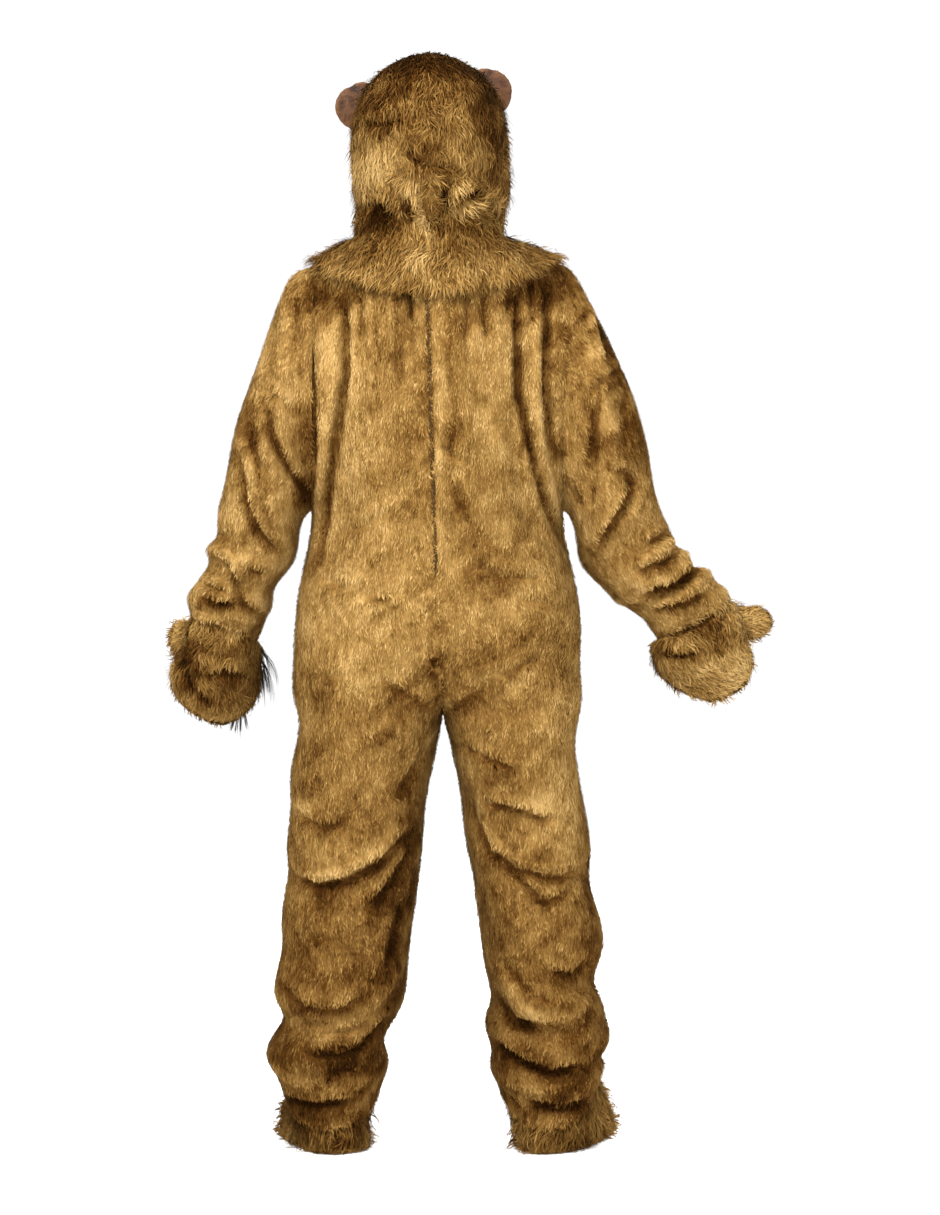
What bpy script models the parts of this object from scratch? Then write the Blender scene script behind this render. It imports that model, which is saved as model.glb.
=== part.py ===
"""Bear costume as worn: a plush jumpsuit, a masked hood with a cape, mittens and shoe covers.

Metres, +Z up. The front faces -Y and the wearer's left is +X. The origin lies on the wearer's
shoulders, below the neck opening. Each piece is a wall of plush, through sections read off the
tables below, and its outer face is where the tips of the pile reach.
"""

import math
from collections import namedtuple

import bmesh
import bpy
import numpy as np
from mathutils import Vector

LEFT, RIGHT = 1, -1
SIDE_NAMES = {LEFT: "left", RIGHT: "right"}

SUIT_WALL = 0.006
LONG_PILE_WALL = 0.009
MITTEN_WALL = 0.006
MASK_WALL = 0.004
SEAM_GAP = 0.0004
REST_GAP = 0.0008
ZIP_SLOT = 0.0080
ZIP_WIDTH = 0.0072
ZIP_DEPTH = 0.0022
ZIP_THICK = 0.0020
PANEL_COLUMNS = 9
RING_COLUMNS = 2 * PANEL_COLUMNS
SLACK_POWER = 2.5
FULLNESS = 2.0 / 2.25
FLOOR_Z = -1.466
UPWARDS = (0.1, 0.3, 1.0)
FOLD_END_HEIGHT, FOLD_END_RISE = 0.35, 3.0
BODY_FACING, SLEEVE_FACING, HOOD_FACING = 1.6, 1.5, 1.5

Torso = namedtuple(
    "Torso", "z_back z_side z_front seam left right back front arm open_share"
)
TORSO = [
    Torso(0.045, 0.046, 0.028, 0.015, 0.098, -0.070, 0.080, -0.070, 0.000, 0.0),
    Torso(0.028, 0.034, 0.010, 0.015, 0.130, -0.106, 0.100, -0.086, 0.000, 0.1),
    Torso(0.002, 0.017, -0.014, 0.015, 0.168, -0.152, 0.116, -0.100, 0.000, 0.4),
    Torso(-0.030, -0.004, -0.045, 0.015, 0.208, -0.208, 0.128, -0.112, 0.000, 0.8),
    Torso(-0.070, -0.045, -0.085, 0.014, 0.208, -0.208, 0.138, -0.124, 0.046, 1.0),
    Torso(-0.115, -0.092, -0.127, 0.013, 0.208, -0.208, 0.145, -0.133, 0.068, 1.0),
    Torso(-0.160, -0.140, -0.170, 0.012, 0.208, -0.208, 0.150, -0.140, 0.082, 1.0),
    Torso(-0.205, -0.188, -0.214, 0.010, 0.208, -0.208, 0.153, -0.146, 0.088, 1.0),
    Torso(-0.250, -0.236, -0.257, 0.009, 0.208, -0.208, 0.155, -0.150, 0.088, 1.0),
    Torso(-0.297, -0.284, -0.302, 0.007, 0.208, -0.208, 0.156, -0.154, 0.082, 1.0),
    Torso(-0.344, -0.334, -0.347, 0.006, 0.208, -0.208, 0.157, -0.157, 0.068, 1.0),
    Torso(-0.390, -0.386, -0.392, 0.004, 0.208, -0.208, 0.158, -0.159, 0.046, 0.9),
    Torso(-0.430, -0.430, -0.430, 0.003, 0.208, -0.208, 0.159, -0.160, 0.000, 0.7),
    Torso(-0.475, -0.475, -0.475, 0.001, 0.215, -0.217, 0.161, -0.161, 0.000, 0.3),
    Torso(-0.525, -0.525, -0.525, 0.000, 0.228, -0.230, 0.164, -0.163, 0.000, 0.1),
    Torso(-0.575, -0.575, -0.575, -0.002, 0.236, -0.240, 0.168, -0.165, 0.000, 0.0),
    Torso(-0.625, -0.625, -0.625, -0.004, 0.239, -0.242, 0.171, -0.166, 0.000, 0.0),
    Torso(-0.675, -0.675, -0.675, -0.006, 0.241, -0.238, 0.172, -0.165, 0.000, 0.0),
    Torso(-0.715, -0.715, -0.715, -0.008, 0.243, -0.244, 0.170, -0.162, 0.000, 0.0),
    Torso(-0.745, -0.745, -0.745, -0.009, 0.234, -0.240, 0.166, -0.158, 0.000, 0.0),
]
SHOULDER_TIP_ROW = 3
ARMPIT_ROW = 12
ZIP_END_ROW = 14
HIP_Z, CROTCH_Z = -0.575, -0.765
SEAT_DEPTH_SHARE = 0.93
CROTCH_NORMAL = (-0.6, 0.0, -0.8)
ARMHOLE_LEAST_OUT = 0.02

Leg = namedtuple("Leg", "z outer_left inner_left outer_right inner_right middle depth")
LEGS = [
    Leg(-0.765, 0.230, -0.010, -0.236, -0.010, 0.004, 0.150),
    Leg(-0.788, 0.232, -0.005, -0.231, -0.018, 0.004, 0.146),
    Leg(-0.815, 0.238, 0.000, -0.231, -0.023, 0.003, 0.142),
    Leg(-0.848, 0.246, 0.007, -0.236, -0.031, 0.002, 0.138),
    Leg(-0.882, 0.245, 0.015, -0.242, -0.037, 0.001, 0.134),
    Leg(-0.916, 0.245, 0.019, -0.249, -0.041, 0.000, 0.131),
    Leg(-0.950, 0.250, 0.021, -0.255, -0.044, 0.000, 0.130),
    Leg(-0.984, 0.252, 0.024, -0.258, -0.050, 0.001, 0.129),
    Leg(-1.015, 0.247, 0.027, -0.253, -0.058, 0.002, 0.126),
    Leg(-1.045, 0.254, 0.031, -0.258, -0.061, 0.003, 0.127),
    Leg(-1.075, 0.259, 0.035, -0.268, -0.065, 0.004, 0.128),
    Leg(-1.105, 0.260, 0.040, -0.277, -0.069, 0.005, 0.128),
    Leg(-1.135, 0.257, 0.043, -0.279, -0.072, 0.006, 0.126),
    Leg(-1.163, 0.263, 0.046, -0.272, -0.076, 0.007, 0.126),
    Leg(-1.190, 0.270, 0.047, -0.259, -0.082, 0.008, 0.124),
    Leg(-1.215, 0.273, 0.050, -0.270, -0.088, 0.008, 0.122),
    Leg(-1.236, 0.264, 0.056, -0.279, -0.086, 0.008, 0.116),
    Leg(-1.255, 0.254, 0.066, -0.282, -0.077, 0.007, 0.111),
    Leg(-1.275, 0.268, 0.080, -0.289, -0.079, 0.006, 0.117),
    Leg(-1.295, 0.281, 0.088, -0.288, -0.085, 0.005, 0.121),
    Leg(-1.316, 0.286, 0.080, -0.282, -0.090, 0.004, 0.121),
    Leg(-1.337, 0.283, 0.078, -0.273, -0.085, 0.003, 0.117),
    Leg(-1.358, 0.272, 0.083, -0.281, -0.088, 0.002, 0.113),
    Leg(-1.380, 0.263, 0.091, -0.276, -0.099, 0.001, 0.108),
    Leg(-1.402, 0.258, 0.096, -0.268, -0.104, 0.000, 0.105),
]

# How far the trouser hem lies above or below its row, at its back, outer, front and inner side.
Hem = namedtuple("Hem", "back outer front inner")
HEMS = {LEFT: Hem(-0.016, 0.022, 0.040, 0.012), RIGHT: Hem(-0.018, 0.048, 0.050, 0.018)}
HEM_START_Z = -1.30

# A fold runs from its start to its end as seen from behind or from the front, and sags between.
# A positive height is a ridge, a negative one a trough.
Fold = namedtuple("Fold", "x0 z0 x1 z1 sag height width")
BACK_FOLDS = [
    Fold(0.158, -0.075, 0.166, -0.560, 0.000, -0.018, 0.016),
    Fold(0.184, -0.100, 0.196, -0.500, 0.000, 0.008, 0.014),
    Fold(0.112, -0.080, 0.128, -0.330, 0.000, -0.007, 0.014),
    Fold(0.078, -0.070, 0.088, -0.260, 0.000, 0.006, 0.016),
    Fold(0.045, -0.075, 0.050, -0.220, 0.000, -0.008, 0.012),
    Fold(-0.026, -0.080, -0.030, -0.440, 0.000, 0.007, 0.020),
    Fold(-0.070, -0.070, -0.110, -0.380, 0.000, -0.006, 0.016),
    Fold(-0.122, -0.060, -0.160, -0.470, 0.000, -0.019, 0.016),
    Fold(-0.146, -0.110, -0.186, -0.560, 0.000, 0.009, 0.015),
    Fold(-0.180, -0.060, -0.190, -0.300, 0.000, -0.010, 0.012),
    Fold(-0.020, -0.430, -0.110, -0.600, 0.010, -0.009, 0.022),
    Fold(-0.060, -0.640, -0.170, -0.600, 0.015, 0.008, 0.025),
    Fold(-0.050, -0.690, -0.120, -0.800, 0.000, -0.010, 0.018),
    Fold(0.070, -0.700, 0.200, -0.640, 0.020, 0.008, 0.028),
    Fold(0.090, -0.770, 0.215, -0.740, 0.024, -0.010, 0.016),
    Fold(0.200, -0.760, 0.110, -0.905, 0.006, -0.010, 0.014),
    Fold(0.240, -0.960, 0.060, -0.900, 0.050, 0.014, 0.018),
    Fold(0.245, -1.030, 0.100, -1.020, 0.018, -0.014, 0.014),
    Fold(0.100, -0.960, 0.040, -1.090, 0.000, -0.012, 0.018),
    Fold(0.120, -1.030, 0.070, -1.190, -0.008, 0.016, 0.018),
    Fold(0.262, -1.110, 0.250, -1.210, 0.000, 0.012, 0.016),
    Fold(0.255, -1.205, 0.085, -1.165, 0.045, 0.018, 0.018),
    Fold(0.255, -1.248, 0.110, -1.245, 0.018, -0.022, 0.014),
    Fold(0.250, -1.290, 0.090, -1.262, 0.030, 0.014, 0.016),
    Fold(0.258, -1.350, 0.130, -1.352, 0.006, -0.020, 0.013),
    Fold(0.270, -1.325, 0.090, -1.320, 0.012, 0.012, 0.016),
    Fold(-0.110, -0.905, -0.205, -0.920, 0.010, -0.014, 0.012),
    Fold(-0.050, -0.900, -0.150, -1.040, 0.012, -0.012, 0.016),
    Fold(-0.075, -0.880, -0.190, -1.010, 0.026, 0.012, 0.016),
    Fold(-0.230, -1.020, -0.120, -1.040, 0.012, -0.011, 0.013),
    Fold(-0.250, -0.930, -0.248, -1.020, 0.000, -0.010, 0.012),
    Fold(-0.250, -1.120, -0.110, -1.060, 0.045, 0.016, 0.018),
    Fold(-0.262, -1.175, -0.150, -1.150, 0.020, -0.014, 0.014),
    Fold(-0.100, -1.160, -0.255, -1.190, 0.050, 0.017, 0.016),
    Fold(-0.098, -1.235, -0.235, -1.275, 0.020, -0.020, 0.014),
    Fold(-0.110, -1.265, -0.265, -1.240, 0.036, 0.017, 0.015),
    Fold(-0.105, -1.300, -0.220, -1.330, 0.012, -0.012, 0.014),
    Fold(-0.150, -1.386, -0.240, -1.384, 0.000, -0.018, 0.012),
    Fold(-0.110, -1.330, -0.270, -1.340, 0.014, 0.012, 0.016),
]
FRONT_FOLDS = [
    Fold(0.150, -0.110, 0.165, -0.520, 0.000, -0.015, 0.018),
    Fold(0.095, -0.120, 0.110, -0.400, 0.000, 0.007, 0.018),
    Fold(0.045, -0.110, 0.055, -0.300, 0.000, -0.007, 0.016),
    Fold(-0.040, -0.110, -0.050, -0.330, 0.000, -0.007, 0.016),
    Fold(-0.100, -0.120, -0.120, -0.430, 0.000, 0.007, 0.018),
    Fold(-0.150, -0.100, -0.172, -0.540, 0.000, -0.016, 0.018),
    Fold(0.060, -0.640, 0.200, -0.610, 0.020, 0.008, 0.026),
    Fold(-0.070, -0.630, -0.200, -0.620, 0.020, 0.008, 0.026),
    Fold(0.040, -0.800, 0.150, -0.730, 0.000, -0.011, 0.018),
    Fold(-0.055, -0.800, -0.160, -0.730, 0.000, -0.011, 0.018),
    Fold(0.230, -0.950, 0.070, -0.930, 0.030, 0.010, 0.020),
    Fold(0.235, -1.080, 0.080, -1.060, 0.030, -0.012, 0.016),
    Fold(0.250, -1.150, 0.080, -1.110, 0.036, 0.014, 0.018),
    Fold(0.255, -1.225, 0.090, -1.200, 0.020, -0.018, 0.014),
    Fold(0.262, -1.275, 0.100, -1.260, 0.020, 0.015, 0.016),
    Fold(0.262, -1.325, 0.110, -1.318, 0.008, -0.015, 0.013),
    Fold(-0.240, -0.960, -0.080, -0.930, 0.034, 0.010, 0.020),
    Fold(-0.245, -1.060, -0.100, -1.070, 0.026, -0.012, 0.016),
    Fold(-0.262, -1.120, -0.100, -1.120, 0.040, 0.015, 0.018),
    Fold(-0.255, -1.195, -0.110, -1.205, 0.022, -0.018, 0.014),
    Fold(-0.270, -1.245, -0.110, -1.255, 0.022, 0.015, 0.016),
    Fold(-0.265, -1.310, -0.120, -1.305, 0.008, -0.015, 0.013),
]

# The outline of each sleeve: a point on its outer and its inner edge for each ring.
Ring = namedtuple("Ring", "outer_x outer_z inner_x inner_z middle depth")
SLEEVES = {
    LEFT: [
        Ring(0.238, -0.014, 0.2120, -0.4312, 0.000, 0.090),
        Ring(0.262, -0.044, 0.2150, -0.4325, 0.000, 0.093),
        Ring(0.277, -0.085, 0.2175, -0.4340, 0.001, 0.095),
        Ring(0.290, -0.130, 0.2195, -0.4360, 0.001, 0.095),
        Ring(0.304, -0.175, 0.2215, -0.4385, 0.002, 0.094),
        Ring(0.320, -0.218, 0.2235, -0.4420, 0.002, 0.092),
        Ring(0.335, -0.262, 0.2250, -0.4480, 0.001, 0.090),
        Ring(0.345, -0.305, 0.2260, -0.4580, 0.000, 0.088),
        Ring(0.352, -0.346, 0.2275, -0.4700, -0.003, 0.086),
        Ring(0.361, -0.384, 0.2300, -0.4850, -0.008, 0.084),
        Ring(0.371, -0.418, 0.2360, -0.5020, -0.014, 0.082),
        Ring(0.366, -0.448, 0.2500, -0.5200, -0.020, 0.073),
        Ring(0.388, -0.474, 0.2630, -0.5330, -0.027, 0.080),
        Ring(0.384, -0.500, 0.2740, -0.5500, -0.034, 0.073),
        Ring(0.400, -0.522, 0.2760, -0.5720, -0.041, 0.076),
        Ring(0.411, -0.541, 0.2840, -0.5910, -0.048, 0.069),
        Ring(0.419, -0.562, 0.2900, -0.6100, -0.053, 0.066),
        Ring(0.419, -0.580, 0.2960, -0.6230, -0.056, 0.060),
    ],
    RIGHT: [
        Ring(-0.236, -0.018, -0.2120, -0.4312, 0.000, 0.090),
        Ring(-0.256, -0.052, -0.2150, -0.4325, 0.000, 0.093),
        Ring(-0.275, -0.092, -0.2175, -0.4340, 0.001, 0.095),
        Ring(-0.293, -0.132, -0.2195, -0.4360, 0.001, 0.095),
        Ring(-0.310, -0.170, -0.2215, -0.4385, 0.002, 0.094),
        Ring(-0.325, -0.208, -0.2235, -0.4420, 0.002, 0.092),
        Ring(-0.338, -0.248, -0.2255, -0.4480, 0.001, 0.090),
        Ring(-0.350, -0.290, -0.2275, -0.4580, 0.000, 0.088),
        Ring(-0.358, -0.330, -0.2290, -0.4700, -0.003, 0.087),
        Ring(-0.363, -0.370, -0.2310, -0.4850, -0.008, 0.086),
        Ring(-0.374, -0.408, -0.2350, -0.5030, -0.014, 0.085),
        Ring(-0.392, -0.442, -0.2500, -0.5220, -0.020, 0.084),
        Ring(-0.402, -0.466, -0.2730, -0.5440, -0.027, 0.082),
        Ring(-0.420, -0.486, -0.2960, -0.5660, -0.034, 0.078),
        Ring(-0.434, -0.500, -0.3280, -0.5860, -0.040, 0.068),
        Ring(-0.460, -0.514, -0.3440, -0.5960, -0.046, 0.072),
        Ring(-0.476, -0.536, -0.3520, -0.6130, -0.052, 0.066),
        Ring(-0.490, -0.552, -0.3640, -0.6270, -0.056, 0.060),
    ],
}
SLEEVE_ROUND_RINGS = 6
WIDEST_ARMHOLE_ROW = 7
SLEEVE_BACK_FOLDS = [
    Fold(0.225, -0.070, 0.222, -0.330, 0.000, -0.010, 0.014),
    Fold(0.262, -0.240, 0.236, -0.430, 0.000, -0.011, 0.016),
    Fold(0.330, -0.290, 0.250, -0.440, 0.010, 0.010, 0.018),
    Fold(0.350, -0.360, 0.265, -0.480, 0.012, -0.014, 0.015),
    Fold(0.372, -0.440, 0.285, -0.530, 0.010, 0.012, 0.014),
    Fold(0.385, -0.488, 0.300, -0.550, 0.008, -0.014, 0.012),
    Fold(0.395, -0.545, 0.300, -0.575, 0.008, 0.010, 0.012),
    Fold(-0.232, -0.060, -0.226, -0.320, 0.000, -0.010, 0.014),
    Fold(-0.300, -0.150, -0.305, -0.260, 0.000, -0.011, 0.014),
    Fold(-0.262, -0.270, -0.240, -0.430, 0.000, -0.014, 0.015),
    Fold(-0.300, -0.270, -0.262, -0.470, 0.000, 0.010, 0.016),
    Fold(-0.330, -0.330, -0.282, -0.520, 0.010, -0.014, 0.015),
    Fold(-0.392, -0.430, -0.290, -0.500, 0.012, -0.013, 0.013),
    Fold(-0.425, -0.480, -0.330, -0.545, 0.010, 0.012, 0.013),
    Fold(-0.445, -0.500, -0.345, -0.575, 0.006, -0.014, 0.011),
]
SLEEVE_FRONT_FOLDS = [
    Fold(0.225, -0.080, 0.225, -0.330, 0.000, -0.010, 0.014),
    Fold(0.262, -0.230, 0.240, -0.420, 0.000, -0.010, 0.016),
    Fold(0.345, -0.330, 0.255, -0.450, 0.010, -0.012, 0.015),
    Fold(0.365, -0.430, 0.275, -0.510, 0.010, 0.012, 0.014),
    Fold(0.388, -0.500, 0.290, -0.545, 0.008, -0.012, 0.012),
    Fold(-0.228, -0.080, -0.226, -0.330, 0.000, -0.010, 0.014),
    Fold(-0.270, -0.230, -0.240, -0.420, 0.000, -0.010, 0.016),
    Fold(-0.355, -0.340, -0.260, -0.460, 0.010, -0.012, 0.015),
    Fold(-0.395, -0.430, -0.295, -0.520, 0.010, 0.012, 0.014),
    Fold(-0.430, -0.490, -0.330, -0.560, 0.008, -0.012, 0.012),
]

# Each mitten's outline beyond its wrist: the thumb edge, the little-finger edge and the depth.
Palm = namedtuple("Palm", "thumb_x thumb_z little_x little_z middle depth")
MITTENS = {
    LEFT: [
        Palm(0.420, -0.594, 0.300, -0.633, -0.060, 0.054),
        Palm(0.423, -0.607, 0.2975, -0.644, -0.063, 0.058),
        Palm(0.425, -0.622, 0.297, -0.656, -0.066, 0.060),
        Palm(0.429, -0.640, 0.297, -0.672, -0.069, 0.060),
        Palm(0.438, -0.662, 0.297, -0.690, -0.072, 0.057),
        Palm(0.450, -0.690, 0.298, -0.711, -0.075, 0.052),
        Palm(0.446, -0.718, 0.308, -0.733, -0.078, 0.044),
        Palm(0.428, -0.743, 0.324, -0.751, -0.081, 0.032),
        Palm(0.402, -0.758, 0.344, -0.762, -0.083, 0.018),
        Palm(0.385, -0.763, 0.360, -0.765, -0.084, 0.000),
    ],
    RIGHT: [
        Palm(-0.500, -0.566, -0.358, -0.638, -0.060, 0.054),
        Palm(-0.507, -0.580, -0.357, -0.648, -0.063, 0.058),
        Palm(-0.513, -0.596, -0.358, -0.657, -0.066, 0.060),
        Palm(-0.519, -0.616, -0.361, -0.667, -0.069, 0.060),
        Palm(-0.526, -0.638, -0.368, -0.681, -0.072, 0.057),
        Palm(-0.533, -0.662, -0.380, -0.694, -0.075, 0.052),
        Palm(-0.530, -0.686, -0.396, -0.707, -0.078, 0.044),
        Palm(-0.516, -0.707, -0.416, -0.719, -0.081, 0.032),
        Palm(-0.494, -0.723, -0.440, -0.728, -0.083, 0.018),
        Palm(-0.478, -0.730, -0.456, -0.732, -0.084, 0.000),
    ],
}
CUFF_TUCK, CUFF_PAST = 0.003, 0.0015
THUMB_FIRST_RING, THUMB_LAST_RING = 2, 6
THUMB_SPREAD = (1.0, 0.6, 0.2)
THUMB_TIP_REACH = 0.3

# How far the thumb's opening draws the seam's two edges apart: the back's, then the palm's.
Opening = namedtuple("Opening", "back_y palm_x palm_y")
OPENINGS = {LEFT: Opening(0.006, -0.012, -0.034), RIGHT: Opening(0.020, 0.0, -0.020)}

# The thumb's own rings, away from its opening: centre, half length along the hand, half depth.
Thumb = namedtuple("Thumb", "x y z along depth")
THUMBS = {
    LEFT: [
        Thumb(0.436, -0.097, -0.624, 0.029, 0.015),
        Thumb(0.441, -0.112, -0.622, 0.026, 0.016),
        Thumb(0.445, -0.125, -0.621, 0.021, 0.014),
        Thumb(0.447, -0.134, -0.621, 0.011, 0.008),
    ],
    RIGHT: [
        Thumb(-0.525, -0.067, -0.601, 0.031, 0.021),
        Thumb(-0.538, -0.069, -0.597, 0.030, 0.022),
        Thumb(-0.549, -0.071, -0.594, 0.024, 0.018),
        Thumb(-0.556, -0.073, -0.592, 0.012, 0.010),
    ],
}

# The hood and mask, from the crown down to the neck seam. The opening is the share of the way
# round, from the centre back, at which the mask takes over from the hood.
Head = namedtuple("Head", "z seam half_width back front opening")
HEAD = [
    Head(0.343, 0.012, 0.000, 0.040, -0.030, 1.00),
    Head(0.337, 0.012, 0.046, 0.074, -0.058, 1.00),
    Head(0.321, 0.012, 0.079, 0.104, -0.085, 1.00),
    Head(0.297, 0.012, 0.103, 0.128, -0.106, 1.00),
    Head(0.266, 0.012, 0.122, 0.144, -0.120, 1.00),
    Head(0.234, 0.013, 0.131, 0.152, -0.125, 0.80),
    Head(0.205, 0.013, 0.133, 0.153, -0.126, 0.72),
    Head(0.176, 0.012, 0.134, 0.152, -0.124, 0.68),
    Head(0.147, 0.010, 0.134, 0.147, -0.120, 0.66),
    Head(0.119, 0.009, 0.132, 0.139, -0.116, 0.66),
    Head(0.094, 0.010, 0.129, 0.129, -0.112, 0.68),
    Head(0.074, 0.011, 0.126, 0.119, -0.109, 0.71),
    Head(0.058, 0.013, 0.126, 0.112, -0.108, 0.74),
]
OPENING_TOP_ROW = 4
HOOD_COLUMNS = 10
MASK_COLUMNS = 16
MASK_ROWS_PER_ROW = 2
MASK_EDGE_FADE = 3.5
MOUND_FALL = 0.7
HEAD_STEP, EDGE_STEP = 0.02, 0.01
# Dents and ridges in the back of the hood, above its neck.
HOOD_FOLDS = [
    Fold(0.060, 0.135, 0.014, 0.060, 0.000, -0.014, 0.014),
    Fold(0.040, 0.110, -0.002, 0.050, 0.000, 0.010, 0.013),
    Fold(-0.028, 0.110, -0.045, 0.058, 0.000, -0.016, 0.013),
    Fold(-0.060, 0.085, -0.105, 0.095, 0.000, 0.012, 0.013),
    Fold(0.120, 0.180, 0.040, 0.165, 0.010, -0.006, 0.014),
]

# The mask's relief: a rounded mound at each place, standing out towards the front.
Mound = namedtuple("Mound", "x z reach half_x half_z power")
MASK_MOUNDS = [
    Mound(0.000, 0.140, 0.056, 0.054, 0.040, 4.0),
    Mound(0.000, 0.094, 0.030, 0.040, 0.020, 2.4),
    Mound(0.044, 0.230, 0.008, 0.026, 0.014, 2.0),
    Mound(-0.044, 0.230, 0.008, 0.026, 0.014, 2.0),
    Mound(0.036, 0.205, -0.007, 0.018, 0.014, 2.0),
    Mound(-0.036, 0.205, -0.007, 0.018, 0.014, 2.0),
    Mound(0.000, 0.108, -0.010, 0.042, 0.006, 2.4),
    Mound(0.074, 0.150, 0.012, 0.026, 0.034, 2.0),
    Mound(-0.074, 0.150, 0.012, 0.026, 0.034, 2.0),
]

# The openings: the first and last grid row and column around each, and the half sizes of the
# oval that their edge is drawn to.
Hole = namedtuple("Hole", "top bottom first last half_x half_z")
MASK_HOLES = [
    Hole(3, 5, 5, 7, 0.012, 0.0085),
    Hole(3, 5, 9, 11, 0.012, 0.0085),
    Hole(11, 12, 6, 10, 0.030, 0.0065),
]
NOSE_ROWS, NOSE_COLUMNS = (6, 9), (6, 10)
NOSE_REACH = 0.56
NOSE_CLEAR = 0.0014
NOSE_CELLS = 8
NOSE_HEIGHT = 0.013
NOSE_FULLNESS = 0.93

# Each ear is a dished half disc standing on the hood.
Ear = namedtuple("Ear", "x y z lean half_height reach")
EARS = {
    LEFT: Ear(0.118, -0.030, 0.262, 0.00, 0.042, 0.052),
    RIGHT: Ear(-0.080, -0.040, 0.286, 0.35, 0.042, 0.046),
}
EAR_WALL = 0.005
EAR_DISH = 0.014
EAR_DISH_OUT, EAR_DISH_UP = 0.55, 0.5
EAR_ROOT_HEIGHT = 0.86
EAR_STEPS = 400
EAR_CLEAR = 0.0002
EAR_SPOKES, EAR_RINGS = 12, 4

CAPE_HEM_SIDE, CAPE_HEM_BACK, CAPE_HEM_FRONT = 2.72, 3.62, 3.30
CAPE_HEM_POWER = 1.5
CAPE_PARTS = (0.0, 0.4, 0.75, 1.0)
CAPE_CLEAR = 0.0012
CAPE_GATHERS = 11
CAPE_GATHER_HEIGHT = 0.011
CAPE_GATHER_START = 0.6
CAPE_GATHER_TOP = 0.4

# Shoe covers on the floor: the heel's centre, half width, heel and toe, and the toe-out slope.
Shoe = namedtuple("Shoe", "x half_width heel toe toe_out")
SHOES = {
    LEFT: Shoe(0.166, 0.067, 0.100, -0.196, 0.18),
    RIGHT: Shoe(-0.176, 0.070, 0.100, -0.198, 0.28),
}
SHOE_TUCK, SHOE_RISE = 0.004, 0.002
# Rings of a shoe cover below the trouser hem: height at the heel and at the toe, and how far
# its outline has grown from the hem's to the sole's.
Sole = namedtuple("Sole", "z_heel z_toe grown")
SOLES = [Sole(-1.430, -1.398, 0.55), Sole(-1.444, -1.420, 0.90), Sole(FLOOR_Z, FLOOR_Z, 1.0)]

# Tufts of long dark hair at the little-finger edge of the left mitten. Each lock reaches out
# and then hangs down; the values go from the first lock to the last.
Tuft = namedtuple("Tuft", "name x y z length_x length_z locks reach_0 reach_1 droop_0 droop_1")
TUFTS = [
    Tuft("tuft_side", 0.2964, -0.070, -0.644, 0.0, -0.038, 9, -0.024, -0.006, 0.062, 0.045),
    Tuft("tuft_tip", 0.3255, -0.082, -0.7527, 0.020, -0.011, 6, -0.004, 0.003, 0.036, 0.030),
]
TUFT_STRIP = 0.003
TUFT_SEGMENTS = 4
TUFT_VARIES, TUFT_WAVE = 0.12, 2.4
TUFT_MARGIN = 0.0004
TUFT_TAPER = 0.85

Finish = namedtuple("Finish", "colour roughness")
FINISHES = {
    "plush": Finish((0.390, 0.225, 0.080), 0.75),
    "long_plush": Finish((0.360, 0.200, 0.070), 0.8),
    "latex": Finish((0.170, 0.085, 0.045), 0.45),
    "nose": Finish((0.020, 0.015, 0.013), 0.3),
    "hair": Finish((0.010, 0.009, 0.009), 0.5),
    "zip": Finish((0.150, 0.100, 0.045), 0.5),
}


def clear_scene():
    for thing in list(bpy.data.objects):
        bpy.data.objects.remove(thing)


def mix(a, b, share):
    return a + (b - a) * share


def unit(vectors):
    return vectors / np.maximum(np.linalg.norm(vectors, axis=-1, keepdims=True), 1e-12)


def round_power(value, power):
    """The value to a power, with its own sign kept."""
    return math.copysign(abs(value) ** power, value)


def material_of(kind):
    found = bpy.data.materials.get(kind)
    if found:
        return found
    made = bpy.data.materials.new(kind)
    made.use_nodes = True
    shader = made.node_tree.nodes["Principled BSDF"]
    shader.inputs["Base Color"].default_value = (*FINISHES[kind].colour, 1.0)
    shader.inputs["Roughness"].default_value = FINISHES[kind].roughness
    return made


def add_object(name, shape, kind):
    """One named object, from a bmesh whose faces are turned outwards here."""
    bmesh.ops.remove_doubles(shape, verts=shape.verts, dist=1e-6)
    wires = [e for e in shape.edges if not e.link_faces]
    bmesh.ops.delete(shape, geom=wires, context="EDGES")
    loose = [v for v in shape.verts if not v.link_faces]
    bmesh.ops.delete(shape, geom=loose, context="VERTS")
    bmesh.ops.recalc_face_normals(shape, faces=shape.faces)
    mesh = bpy.data.meshes.new(name)
    shape.to_mesh(mesh)
    shape.free()
    mesh.shade_smooth()
    mesh.materials.append(material_of(kind))
    made = bpy.data.objects.new(name, mesh)
    bpy.context.scene.collection.objects.link(made)
    return made


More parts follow.
